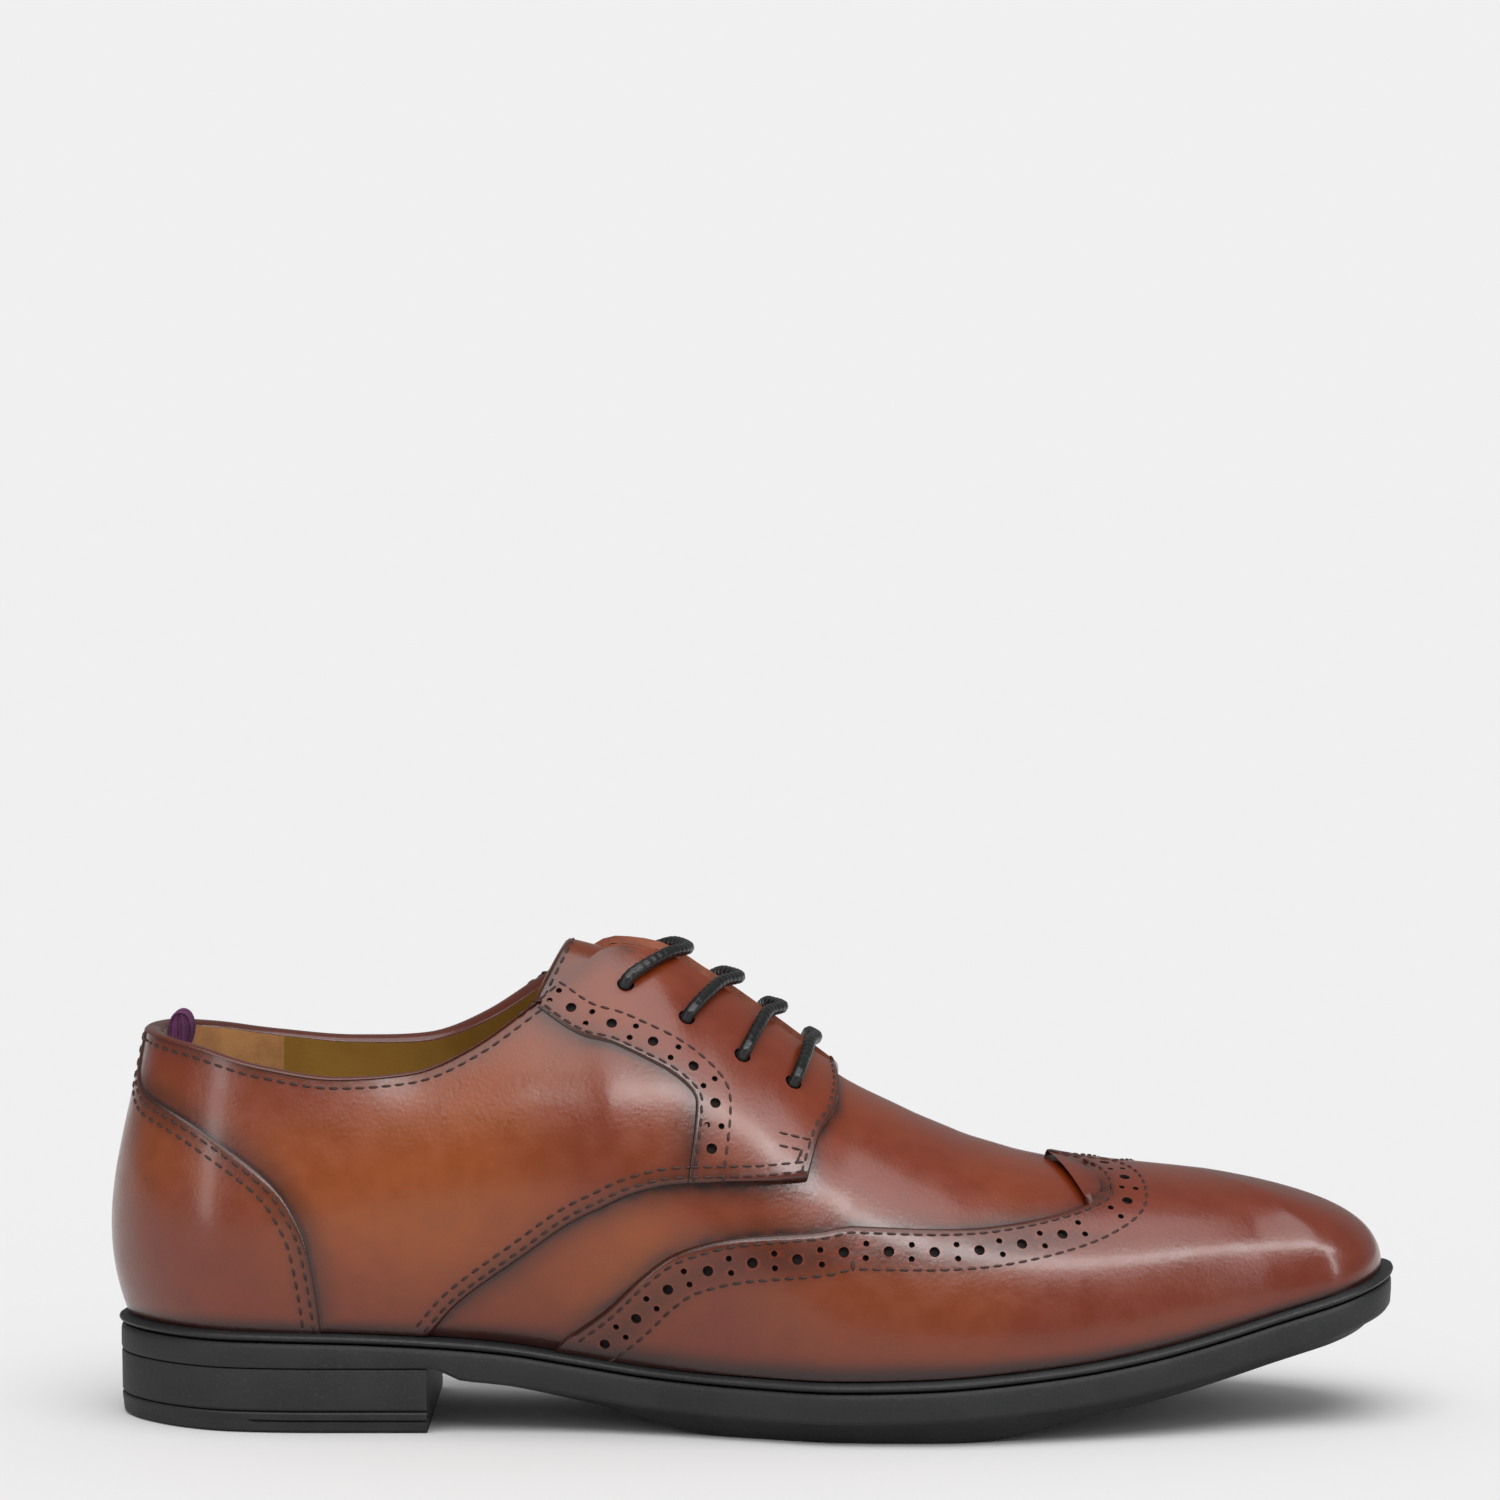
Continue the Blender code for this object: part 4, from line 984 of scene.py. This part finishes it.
def punched_row(side, line, face, toward, start=0.5, end=0.5):
    """Big holes along a line, and a pair of small ones halfway between each two, one on each side of it."""
    s, t = even_places(side, line, HOLE_PITCH, start, end)
    holes = [(side, a, b, face, BIG_HOLE) for a, b in zip(s, t)]
    between = len(s) - 1
    length = run_length(skin(side, *line))
    step = length[-1] / (between + start + end)
    rows = np.arange(len(length))
    at = np.interp((np.arange(between) + start + 0.5) * step, length, rows)
    for way in (-1, 1):
        beside = moved_line(side, line, PAIR_APART / 2, np.array(toward) * way, 0.0005)
        pairs = zip(*(np.interp(at, rows, part) for part in beside))
        holes += [(side, a, b, face, SMALL_HOLE) for a, b in pairs]
    return holes


# Ways in from an edge, as steps of station and height
AHEAD = (1.0, 0.0)
BACK = (-1.0, 0.0)
WING_IN = (0.25, -0.6)
QUARTER_IN = (-0.3, 1.0)
COLLAR_IN = (0, -1)
WING_INSET = 0.0062        # from a panel's edge in to its row of holes
BAND_INSET = 0.0048


def band_line(side, inset):
    """A line inside the facing's rear edge, as far forward as asked."""
    return moved_line(side, FACING_LINE, inset, AHEAD)


def wing_row(side, inset):
    """A line inside the wing's edge; towards the sole and the toe from it."""
    return moved_line(side, WING_LINE, inset, WING_IN)


# Stitches
STITCH_LENGTH = 0.0026
STITCH_RADIUS = 0.00034
# How far each row of stitches lies inside its panel's edge
WING_ROWS = (0.0020, 0.0105)
QUARTER_ROWS = (0.0018, 0.0041)
COUNTER_ROWS = (0.0018, 0.0043)
BAND_ROWS = (0.0014, 0.0084)
THROAT_ROW = 0.0018
COLLAR_ROW = 0.0022
# A short box of stitches that strengthens the facing's lower corner, as ends of (foot share, height)
TACK_BOX = (((0.512, 0.630), (0.540, 0.640)), ((0.512, 0.595), (0.532, 0.603)),
            ((0.532, 0.603), (0.527, 0.560)))


def stitch_row(side, line, lift):
    """Places, directions and outward directions of a row of stitches along a line on the skin."""
    s, t = even_places(side, line, STITCH_PITCH)
    points = skin(side, *line)
    length = run_length(points)
    step = length[-1] / len(s)
    at = (np.arange(len(s)) + 0.5) * step
    ahead = read_along(points, length, at + step / 4) - read_along(points, length, at - step / 4)
    normal = skin_normal(np.full_like(s, side), s, t)
    place = skin(side, s, t) + (lift + creases(s, t))[..., None] * normal
    return place, unit(ahead), normal


def stitches(name, rows):
    """Rows of stitches as one mesh: each a rounded strand whose ends sink into the leather.

    A ring of a stitch is place + ahead l + aside (r cos(a)) + up (r sin(a) + sink), for a few lengths l
    along it, each with its own radius r and sink.
    """
    along = np.array([-1.0, -0.86, -0.45, 0.0, 0.45, 0.86, 1.0]) * STITCH_LENGTH / 2
    thick = np.array([0.25, 0.75, 1.0, 1.0, 1.0, 0.75, 0.25]) * STITCH_RADIUS
    sink = np.array([-1.1, -0.55, 0.0, 0.12, 0.0, -0.55, -1.1]) * STITCH_RADIUS
    a = np.linspace(0, 2 * np.pi, 6, endpoint=False)
    place, ahead, up = (np.concatenate(part) for part in zip(*rows))
    aside = unit(np.cross(ahead, up))
    up = np.cross(aside, ahead)
    points = (place[:, None, None] + ahead[:, None, None] * along[None, :, None, None]
              + aside[:, None, None] * (thick[:, None] * np.cos(a))[None, ..., None]
              + up[:, None, None] * (thick[:, None] * np.sin(a) + sink[:, None])[None, ..., None])
    count = len(along) * len(a)
    index = np.arange(count).reshape(len(along), len(a))
    turned = np.roll(index, -1, 1)
    quads = np.stack([index[:-1], turned[:-1], turned[1:], index[1:]], -1).reshape(-1, 4)
    every = (quads[None] + (np.arange(len(place)) * count)[:, None, None]).reshape(-1, 4)
    caps = [(index[0][::-1] + k * count).tolist() for k in range(len(place))]
    caps += [(index[-1] + k * count).tolist() for k in range(len(place))]
    data = bpy.data.meshes.new(name)
    data.from_pydata(to_frame(points.reshape(-1, 3)).tolist(), [], every.tolist() + caps)
    data.shade_smooth()
    add_piece(name, data, [THREAD], ())


def make_stitching():
    """Every row of stitches on the upper, gathered by panel."""
    wing, quarter, counter, facing = [], [], [], []
    corner = tuple(part[LOW_LINE[0] > FACING_LINE[0][0]] for part in LOW_LINE)
    s = np.linspace(0.02, station(COLLAR_END), 300)
    collar = s, np.ones_like(s)
    for side in (-1, 1):
        for inset in WING_ROWS:
            wing.append(stitch_row(side, wing_row(side, inset), QUARTER_OUT))
        for inset in QUARTER_ROWS:
            quarter.append(stitch_row(side, moved_line(side, LOW_LINE, inset, QUARTER_IN), QUARTER_OUT))
        for inset in COUNTER_ROWS:
            counter.append(stitch_row(side, moved_line(side, COUNTER_LINE, inset, BACK), FACING_OUT))
        for inset in BAND_ROWS:
            facing.append(stitch_row(side, band_line(side, inset), FACING_OUT))
        facing.append(stitch_row(side, moved_line(side, FRONT_LINE, THROAT_ROW, BACK), FACING_OUT))
        for inset in QUARTER_ROWS:
            facing.append(stitch_row(side, moved_line(side, corner, inset, QUARTER_IN), FACING_OUT))
        for box in TACK_BOX:
            share, height = (np.linspace(a, b, 40) for a, b in zip(*box))
            facing.append(stitch_row(side, (station(share), height), FACING_OUT))
        quarter.append(stitch_row(side, moved_line(side, collar, COLLAR_ROW, COLLAR_IN), QUARTER_OUT))
    stitches("wing_cap_stitching", wing)
    stitches("quarter_stitching", quarter)
    stitches("heel_counter_stitching", counter)
    stitches("facing_stitching", facing)


def punch_panels(wing, facings):
    """The wing cap's row on both sides, each facing's row, and its eyelets."""
    holes = []
    for side in (-1, 1):
        holes += punched_row(side, wing_row(side, WING_INSET), QUARTER_OUT, WING_IN)
    punch(wing, holes)
    for side, facing in zip((-1, 1), facings):
        holes = punched_row(side, band_line(side, BAND_INSET), FACING_OUT, AHEAD, start=0.75, end=0.3)
        for share, height in EYELETS:
            holes.append((side, station(share), height, FACING_OUT, EYELET_HOLE))
        punch(facing, holes)


# The sole
SOLE_SIDE_STATIONS = 150
WAIST_EASE = BREAST_STEP * 9 / LENGTH   # share of the length over which the underside leaves the heel
INSERT_BACK = 0.035        # a harder rubber insert fills the top lift ahead of this place
INSERT_TOP = 0.0030
WELT_INNER = 0.0115        # inset of the welt's hidden inner edge
SOCK_INSET = UPPER_WALL + 0.0050


def plan_ring(s, inset, height, reach=1.0):
    """The sole's outline as one closed ring of points, toe and heel shared.

    reach draws the ring in to the sole's middle line: middle + (outline - middle) reach.
    """
    inset = inset(foot_share(s)) if callable(inset) else inset
    halves = [outline(np.full_like(s, side), s, np.broadcast_to(inset, s.shape)) for side in (-1, 1)]
    middle = np.stack([(halves[0][:, 0] + halves[1][:, 0]) / 2, middle_line(foot_share(s))], -1)
    rows = []
    for plan in halves:
        xy = middle + (plan - middle) * reach
        z = height(xy[:, 0] / LENGTH) if callable(height) else np.full(len(s), height)
        rows.append(np.column_stack([xy, z]))
    return np.concatenate([rows[0], rows[1][::-1]])


def rings(name, cad, s, layers, material, loop=False, breast=False):
    """Surface through rings laid one below the other, each a (inset, height, reach) of plan_ring.

    A loop of rings closes on itself. With a breast the rings stay open in front, and a flat face that
    runs straight from side to side closes them there.
    """
    build = Build()
    stack = np.stack([plan_ring(s, *layer) for layer in layers])
    if loop:
        stack = np.concatenate([stack, stack[:1]])
    build.grid(stack, wrap=not breast)
    if breast:
        ends = np.stack([stack[:, len(s) - 1], stack[:, len(s)]], 1)
        across = np.linspace(0, 1, 13)[None, :, None]
        build.grid(ends[:, :1] * (1 - across) + ends[:, 1:] * across)
    add_piece(name, build.mesh(name, 5e-6, 0.5), [material], cad)


def by_heel(at_heel, ahead, end=HEEL_LENGTH):
    """An inset with one value over the heel and another ahead of it."""
    return lambda share: np.where(share < end / LENGTH, at_heel, ahead)


def below(height, depth):
    """A height that varies along the sole, lowered by a depth."""
    return lambda share: height(share) - depth


def between(upper, lower, part):
    """A height part of the way from one down to another."""
    return lambda share: upper(share) * (1 - part) + lower(share) * part


def over_heel(height):
    """The underside, flat over the heel block and eased from it into the waist: u^2 (3 - 2u) of the way."""
    seat = HEEL_HEIGHT + GAP / 3

    def level(share):
        u = np.clip((share - HEEL_LENGTH / LENGTH) / WAIST_EASE, 0, 1)
        eased = u ** 2 * (3 - 2 * u)
        return np.where(share < HEEL_LENGTH / LENGTH, seat, seat * (1 - eased) + height(share) * eased)
    return level


def make_sole():
    """Outsole, heel block, top lift, welt and sock lining, each a stack of rings from its top down.

    Neighbouring rings that lie close together round an edge off.
    """
    s = np.linspace(0, 1, SOLE_SIDE_STATIONS)
    heel_s = np.linspace(0, station(HEEL_LENGTH / LENGTH), 60)
    edge = over_heel(sole_edge)
    bottom = over_heel(tread)
    outsole = [(0.0012, sole_top, 0.0), (0.0014, sole_top), (0.0006, below(sole_top, 0.0001)),
               (0.0002, below(sole_top, 0.0006)), (0.0, below(sole_top, 0.0014)),
               (0.0, between(sole_top, edge, 0.5)), (by_heel(0.0, 0.0002), below(edge, -0.0010)),
               (by_heel(0.0002, 0.0008), below(edge, -0.0002)), (by_heel(0.0006, 0.0018), edge),
               (0.0036, between(edge, bottom, 0.30)), (TREAD_INSET - 0.0006, between(edge, bottom, 0.95)),
               (TREAD_INSET, bottom), (TREAD_INSET, bottom, 0.5), (TREAD_INSET, bottom, 0.0)]
    rings("outsole_visual", ["outsole"], s, outsole, RUBBER)
    seat = LIFT_THICK + GAP / 3
    block = [(0.0006, HEEL_HEIGHT, 0.0), (0.0006, HEEL_HEIGHT), (0.0002, HEEL_HEIGHT - 0.0002),
             (0.0001, HEEL_HEIGHT - 0.0006), (0.0002, seat + 0.0006), (0.0005, seat + 0.0001), (0.0010, seat),
             (0.0010, seat, 0.0)]
    rings("heel_block_visual", ["heel_block"], heel_s, block, RUBBER, breast=True)
    insert = by_heel(0.0004, 0.0011, INSERT_BACK)
    lift = [(0.0010, LIFT_THICK, 0.0), (0.0010, LIFT_THICK), (0.0004, LIFT_THICK - 0.0002),
            (0.0002, LIFT_THICK - 0.0006), (0.0003, INSERT_TOP + 0.0003), (insert, INSERT_TOP + 0.0001),
            (insert, INSERT_TOP - 0.0001), (0.0004, INSERT_TOP - 0.0003), (0.0006, 0.0008), (0.0010, 0.0003),
            (0.0018, 0.0), (0.0018, 0.0, 0.0)]
    rings("top_lift_visual", ["top_lift"], heel_s, lift, RUBBER, breast=True)
    top = feather_height
    welt = [(WELT_INNER, top), (0.0010, top), (0.0003, below(top, 0.0002)), (-0.0003, below(top, 0.0006)),
            (-0.0005, below(top, WELT_THICK / 2)), (-0.0003, below(top, WELT_THICK - 0.0006)),
            (0.0003, below(top, WELT_THICK - 0.0002)), (0.0010, below(top, WELT_THICK)),
            (WELT_INNER, below(top, WELT_THICK))]
    rings("welt_visual", ["welt"], s, welt, WELT_RUBBER, loop=True)
    under = below(top, -GAP)
    over = below(top, -GAP - INSOLE_THICK)
    domed = SOCK_INSET + 0.0040
    sock = [(domed, over, 0.0), (domed, over), (SOCK_INSET, between(under, over, 0.7)), (SOCK_INSET, under),
            (SOCK_INSET, under, 0.0)]
    rings("sock_lining", ["insole"], s, sock, SOCK)


# The tongue
TONGUE_SEAM = 0.968        # place of the seam below the tongue's top edge, from vamp to crest
TONGUE_EDGE = 0.0010       # radius over which its edges thin out
CREST_RUN = 0.085          # about its own length and its half width
TONGUE_HALF = 0.016


def make_tongue():
    """The tongue: its middle surface moved out by half its thickness both ways, thinner at the edges,
    by sqrt(1 - (1 - d / r)^2) at the distance d from one; and the seam across its top."""
    build = Build()
    u, v = np.meshgrid(np.linspace(0, 1, 70), np.linspace(-1, 1, 40), indexing="ij")
    by_u = tongue_point(np.minimum(u + STEP, 1), v) - tongue_point(np.maximum(u - STEP, 0), v)
    by_v = tongue_point(u, v + STEP) - tongue_point(u, v - STEP)
    normal = unit(np.cross(by_v, by_u))
    normal *= np.sign(normal[..., 2:])
    half = TONGUE_THICK / 2
    to_edge = np.minimum((1 - u) * CREST_RUN, np.minimum(1 + v, 1 - v) * TONGUE_HALF)
    rim = np.clip(to_edge / TONGUE_EDGE, 0, 1)
    thick = half * (0.35 + 0.65 * np.sqrt(1 - (1 - rim) ** 2))
    # Darker at the crest, and a quarter of the dark all over as painted shade from the facings
    burn = np.maximum(0.75 * fade((1 - u) * CREST_RUN, 0.004), 0.25)
    tan = 0.35 * np.exp(-(v / 0.6) ** 2)
    middle = tongue_point(u, v)
    top = middle + thick[..., None] * normal
    under = middle - thick[..., None] * normal
    build.grid(top, burn=burn, tan=tan)
    build.grid(under, slot=1)
    for pick in (np.s_[0, :], np.s_[-1, :], np.s_[:, 0], np.s_[:, -1]):
        build.grid(np.stack([top[pick], under[pick]]), burn=0.5, tan=0.3)
    add_piece("tongue_visual", build.mesh("tongue_visual"), [TONGUE_LEATHER, LINING], ["tongue"])
    row = np.linspace(-0.92, 0.92, 300)
    line = tongue_point(np.full_like(row, TONGUE_SEAM), row)
    length = run_length(line)
    count = int(length[-1] / STITCH_PITCH)
    at = (np.arange(count) + 0.5) * length[-1] / count
    ahead = read_along(line, length, at + 0.0006) - read_along(line, length, at - 0.0006)
    outward = normal[-3][np.linspace(0, 39, len(row)).astype(int)]
    up = unit(read_along(outward, length, at))
    stitches("tongue_stitching", [(read_along(line, length, at) + half * up, unit(ahead), up)])


# Laces and the loop
LACE_SIDES = 24
LACE_RING = 0.00032        # from one ring of the lace to the next, fine enough for the braid
LACE_AHEAD = (0.016, 0.014, 0.011, 0.006)   # how far ahead of its eyelets each stretch crosses over
LACE_LIFT = 0.0004         # clearance between the lace and what it lies on


def swept(path, profile):
    """Tube along a path, its rings carried along without twisting; profile(length, angle) is its radius.

    Each ring's first direction is the last ring's less its part along the path, and a point of a ring is
    centre + r (cos(a) first + sin(a) second).
    """
    length = run_length(path)
    at = np.linspace(0, length[-1], max(int(length[-1] / LACE_RING), 8))
    points = np.stack([smooth(at, length, path[:, i]) for i in range(3)], -1)
    along = unit(np.gradient(points, axis=0))
    frames = [unit(np.cross(along[0], [0.2, 0.3, 1.0]))]
    for direction in along[1:]:
        carried = frames[-1] - direction * frames[-1].dot(direction)
        frames.append(unit(carried))
    first = np.array(frames)[:, None]
    second = np.cross(along, frames)[:, None]
    a = np.linspace(0, 2 * np.pi, LACE_SIDES, endpoint=False)
    r = profile(at[:, None], a[None, :])
    ring = r[..., None] * (np.cos(a)[None, :, None] * first + np.sin(a)[None, :, None] * second)
    return points[:, None] + ring, points


def braid(length, angle):
    """Round braid: ridges that wind both ways and cross, cos(4a + turn) cos(4a - turn)."""
    turn = 2 * np.pi * length / LACE_TURN
    weave = np.cos(4 * angle + turn) * np.cos(4 * angle - turn)
    return LACE_DIAMETER / 2 * (0.93 + 0.06 * weave)


def tongue_crown(x):
    """Height of the tongue's upper face on the middle line at x."""
    u = np.linspace(0, 1, 200)
    line = tongue_point(u, np.zeros_like(u))
    return np.interp(x, line[::-1, 0], line[::-1, 2]) + TONGUE_THICK / 2


def add_lace(name, cad, path):
    """One stretch of the lace, its ends closed by fans to their middles."""
    build = Build()
    tube, points = swept(path, braid)
    build.grid(np.swapaxes(np.concatenate([tube, tube[:, :1]], 1), 0, 1))
    for ring, centre in ((tube[0], points[0]), (tube[-1], points[-1])):
        closed = np.concatenate([ring, ring[:1]])
        build.grid(np.stack([closed, np.broadcast_to(centre, closed.shape)]))
    add_piece(name, build.mesh(name, 2e-6, 1.2), [LACE], [cad])


def eyelet(side, index, lift):
    """A place over the middle of an eyelet, lifted off the facing."""
    share, height = EYELETS[index]
    return skin(side, station(share), height, FACING_OUT + lift)


def edge_over(side, x_share, lift):
    """A place above the facing's edge at a share of the length."""
    return skin(side, station(x_share), 1.0, FACING_OUT + lift)


def make_laces():
    """Four stretches: each comes up through an eyelet, lies over the facing's edge and the tongue, and
    goes down through the eyelet on the other side. Its points are then smoothed by (a + 4b + c) / 6."""
    r = LACE_DIAMETER / 2
    for index, ahead in enumerate(LACE_AHEAD):
        share = EYELETS[index][0]
        forward = ahead / LENGTH
        halves = []
        for side in (-1, 1):
            hidden = eyelet(side, index, -0.0040) + np.array([0.0, 0.0, -0.0006])
            start = eyelet(side, index, r * 0.55)
            over = edge_over(side, share + 0.45 * forward, r + LACE_LIFT)
            bow = (r * 0.9 + 0.0006) * skin_normal(side, station(share + 0.2 * forward), 0.96)
            halves.append([hidden, start, (start + over) / 2 + bow, over])
        x = (halves[0][1][0] + halves[1][1][0]) / 2 + forward * LENGTH
        ridge = (halves[0][3][2] + halves[1][3][2]) / 2
        low = tongue_crown(x) + r + LACE_LIFT
        middle = np.array([x, middle_line(x / LENGTH), max(low, ridge - 0.0010)])
        path = np.array(halves[0] + [middle] + halves[1][::-1])
        path[2:-2] = (path[1:-3] + 4 * path[2:-2] + path[3:-1]) / 6
        cad = "lace_bar" if index == 3 else f"lace_crossing_{index + 1}"
        add_lace(f"lace_over_{index + 1}", cad, path)


LOOP_WIDTH = 0.0080
LOOP_RISE = 0.0046         # how far the loop stands above the collar
LOOP_TAIL = 0.0070         # how far its ends run down inside
LOOP_BELLY = LOOP_RISE * 1.2
LOOP_BEHIND = 0.0018       # clearance between the loop and the back of the collar
LOOP_RIBS = 7
LOOP_CENTRE = 0.45         # share of its depth where the open sides of the loop are drawn in to


def make_pull_loop():
    """Ribbed tape folded into a loop, sewn in behind the back of the collar.

    A profile of seven points is carried across the tape, moved in and out by the ribs' cosine.
    """
    inside = section_value("top", np.zeros(1))[0] * LENGTH + UPPER_WALL + LOOP_BEHIND
    height = section_value("rise", np.zeros(1))[0] * INSTEP_HEIGHT
    shoulder = height + 0.8 * LOOP_RISE
    knots = np.array([(inside - 0.0004, height - LOOP_TAIL), (inside - 0.0002, height),
                      (inside + 0.18 * LOOP_BELLY, shoulder), (inside + 0.5 * LOOP_BELLY, height + LOOP_RISE),
                      (inside + 0.82 * LOOP_BELLY, shoulder), (inside + LOOP_BELLY, height),
                      (inside + 0.62 * LOOP_BELLY, height - LOOP_TAIL)])
    place = np.linspace(0, 1, len(knots))
    u = np.linspace(0, 1, 90)
    path = np.stack([smooth(u, place, knots[:, i]) for i in range(2)], -1)
    along = unit(np.gradient(path, axis=0))
    across = np.stack([-along[:, 1], along[:, 0]], -1)
    w = np.linspace(-1, 1, 61)
    rib = 0.00022 * np.cos(w * np.pi * LOOP_RIBS) + 0.00006 * np.cos(u * np.pi * 60)[:, None]
    x = path[:, :1] + across[:, :1] * rib
    z = path[:, 1:] + across[:, 1:] * rib
    tape = np.stack([x, np.broadcast_to(w * LOOP_WIDTH / 2, x.shape), z], -1)
    build = Build()
    build.grid(tape)
    centre = np.array([inside + LOOP_CENTRE * LOOP_BELLY, 0.0, 0.0])
    k = np.linspace(0, 1, 8)[:, None, None]
    for edge in (tape[:, 0], tape[:, -1]):
        middle = edge * [0, 1, 1] + centre
        wave = 0.00020 * np.cos(k * np.pi * 6) * np.array([0.0, np.sign(edge[0, 1]), 0.0])
        build.grid(edge[None] * (1 - k) + middle[None] * k + wave)
    build.grid(np.stack([tape[0], tape[-1]]))
    add_piece("pull_loop_visual", build.mesh("pull_loop_visual"), [TAPE], ["pull_loop"])


# Floor, light and camera
SKY_SEEN = 1.0             # the backdrop's brightness as the camera sees it
SKY_LIGHT = 0.60           # as it lights the shoe and the floor
SKY_GLOSS = 0.28           # as the gloss shows it: dark flags stand beside the lamps
FLOOR_FAR = 60.0
# Lamps for the gloss on the leather: name, place, aim, width, height and watts
STRIPS = (
    ("front strip", (0.45, -0.80, 0.95), (0.05, 0.0, 0.05), 2.0, 0.18, 11.0),
    ("toe strip", (0.95, -0.55, 0.45), (0.10, 0.0, 0.04), 0.16, 0.60, 2.0),
    ("heel strip", (-0.80, -0.70, 0.40), (-0.10, 0.0, 0.05), 0.16, 0.70, 1.5),
)
CAMERA_AWAY = 1.265
CAMERA_RAISED = 8.0        # degrees above the middle of the shoe
CAMERA_TILT = 3.15         # degrees that it looks down, so that the shoe stands low in the picture
CAMERA_TURN = 0.078
CAMERA_LENS = 123.3        # mm, on a sensor 36 mm wide


def make_stage():
    """A wide pale floor under an even sky and sun; strip lamps light the shoe alone."""
    far = FLOOR_FAR
    data = bpy.data.meshes.new("floor")
    data.from_pydata([(-far, -far, 0), (far, -far, 0), (far, far, 0), (-far, far, 0)], [], [(0, 1, 2, 3)])
    floor = bpy.data.objects.new("floor", data)
    bpy.context.scene.collection.objects.link(floor)
    paper, _, shader, _ = new_material("matt white paper")
    shader.inputs["Base Color"].default_value = colour("ECECEC")
    shader.inputs["Roughness"].default_value = 1.0
    shader.inputs["Specular IOR Level"].default_value = 0.0
    floor.data.materials.append(paper)
    sun = bpy.data.lights.new("even overhead light", "SUN")
    sun.energy = 1.70
    sun.angle = np.radians(60)
    lamp = bpy.data.objects.new("even overhead light", sun)
    lamp.rotation_euler = (np.radians(18), 0.0, 0.0)
    bpy.context.scene.collection.objects.link(lamp)
    lit = bpy.data.collections.new("lit by the strips")
    for piece in bpy.data.objects:
        if "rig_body" in piece:
            lit.objects.link(piece)
    for name, place, aim, width, height, power in STRIPS:
        light = bpy.data.lights.new(name, "AREA")
        light.shape = "RECTANGLE"
        light.size = width
        light.size_y = height
        light.energy = power
        lamp = bpy.data.objects.new(name, light)
        lamp.location = place
        lamp.rotation_euler = (Vector(aim) - Vector(place)).to_track_quat("-Z", "Y").to_euler()
        lamp.light_linking.receiver_collection = lit
        bpy.context.scene.collection.objects.link(lamp)
    world = bpy.data.worlds.new("studio")
    world.use_nodes = True
    tree = world.node_tree
    back = tree.nodes["Background"]
    back.inputs["Color"].default_value = colour("F0F0F0")
    ray = node(tree, "LightPath").outputs
    sky = maths(tree, "MULTIPLY_ADD", ray["Is Camera Ray"], SKY_SEEN - SKY_LIGHT)
    sky.node.inputs[2].default_value = SKY_LIGHT
    gloss = maths(tree, "MULTIPLY", ray["Is Glossy Ray"], SKY_LIGHT - SKY_GLOSS)
    tree.links.new(maths(tree, "SUBTRACT", sky, gloss), back.inputs["Strength"])
    bpy.context.scene.world = world


def make_camera():
    """The photograph's view: from the outer side and a little above, through a long lens."""
    lens = bpy.data.cameras.new("photo camera")
    lens.sensor_width = 36.0
    lens.lens = CAMERA_LENS
    lens.clip_end = 90.0
    camera = bpy.data.objects.new("photo camera", lens)
    raised = np.radians(CAMERA_RAISED)
    middle = np.array([LENGTH / 2 + HEEL_BACK, 0.0, 0.055])
    camera.location = middle + CAMERA_AWAY * np.array([0.0, -np.cos(raised), np.sin(raised)])
    camera.rotation_euler = (np.radians(90 - CAMERA_TILT), 0.0, np.radians(CAMERA_TURN))
    bpy.context.scene.collection.objects.link(camera)
    bpy.context.scene.camera = camera
    bpy.context.scene.view_settings.view_transform = "Standard"
    bpy.context.scene.view_settings.look = "None"


make_upper()
collar_roll()
make_quarters()
facings = make_facings()
wing = make_wing_cap()
make_heel_counter()
punch_panels(wing, facings)
make_stitching()
make_sole()
make_tongue()
make_laces()
make_pull_loop()
make_stage()
make_camera()
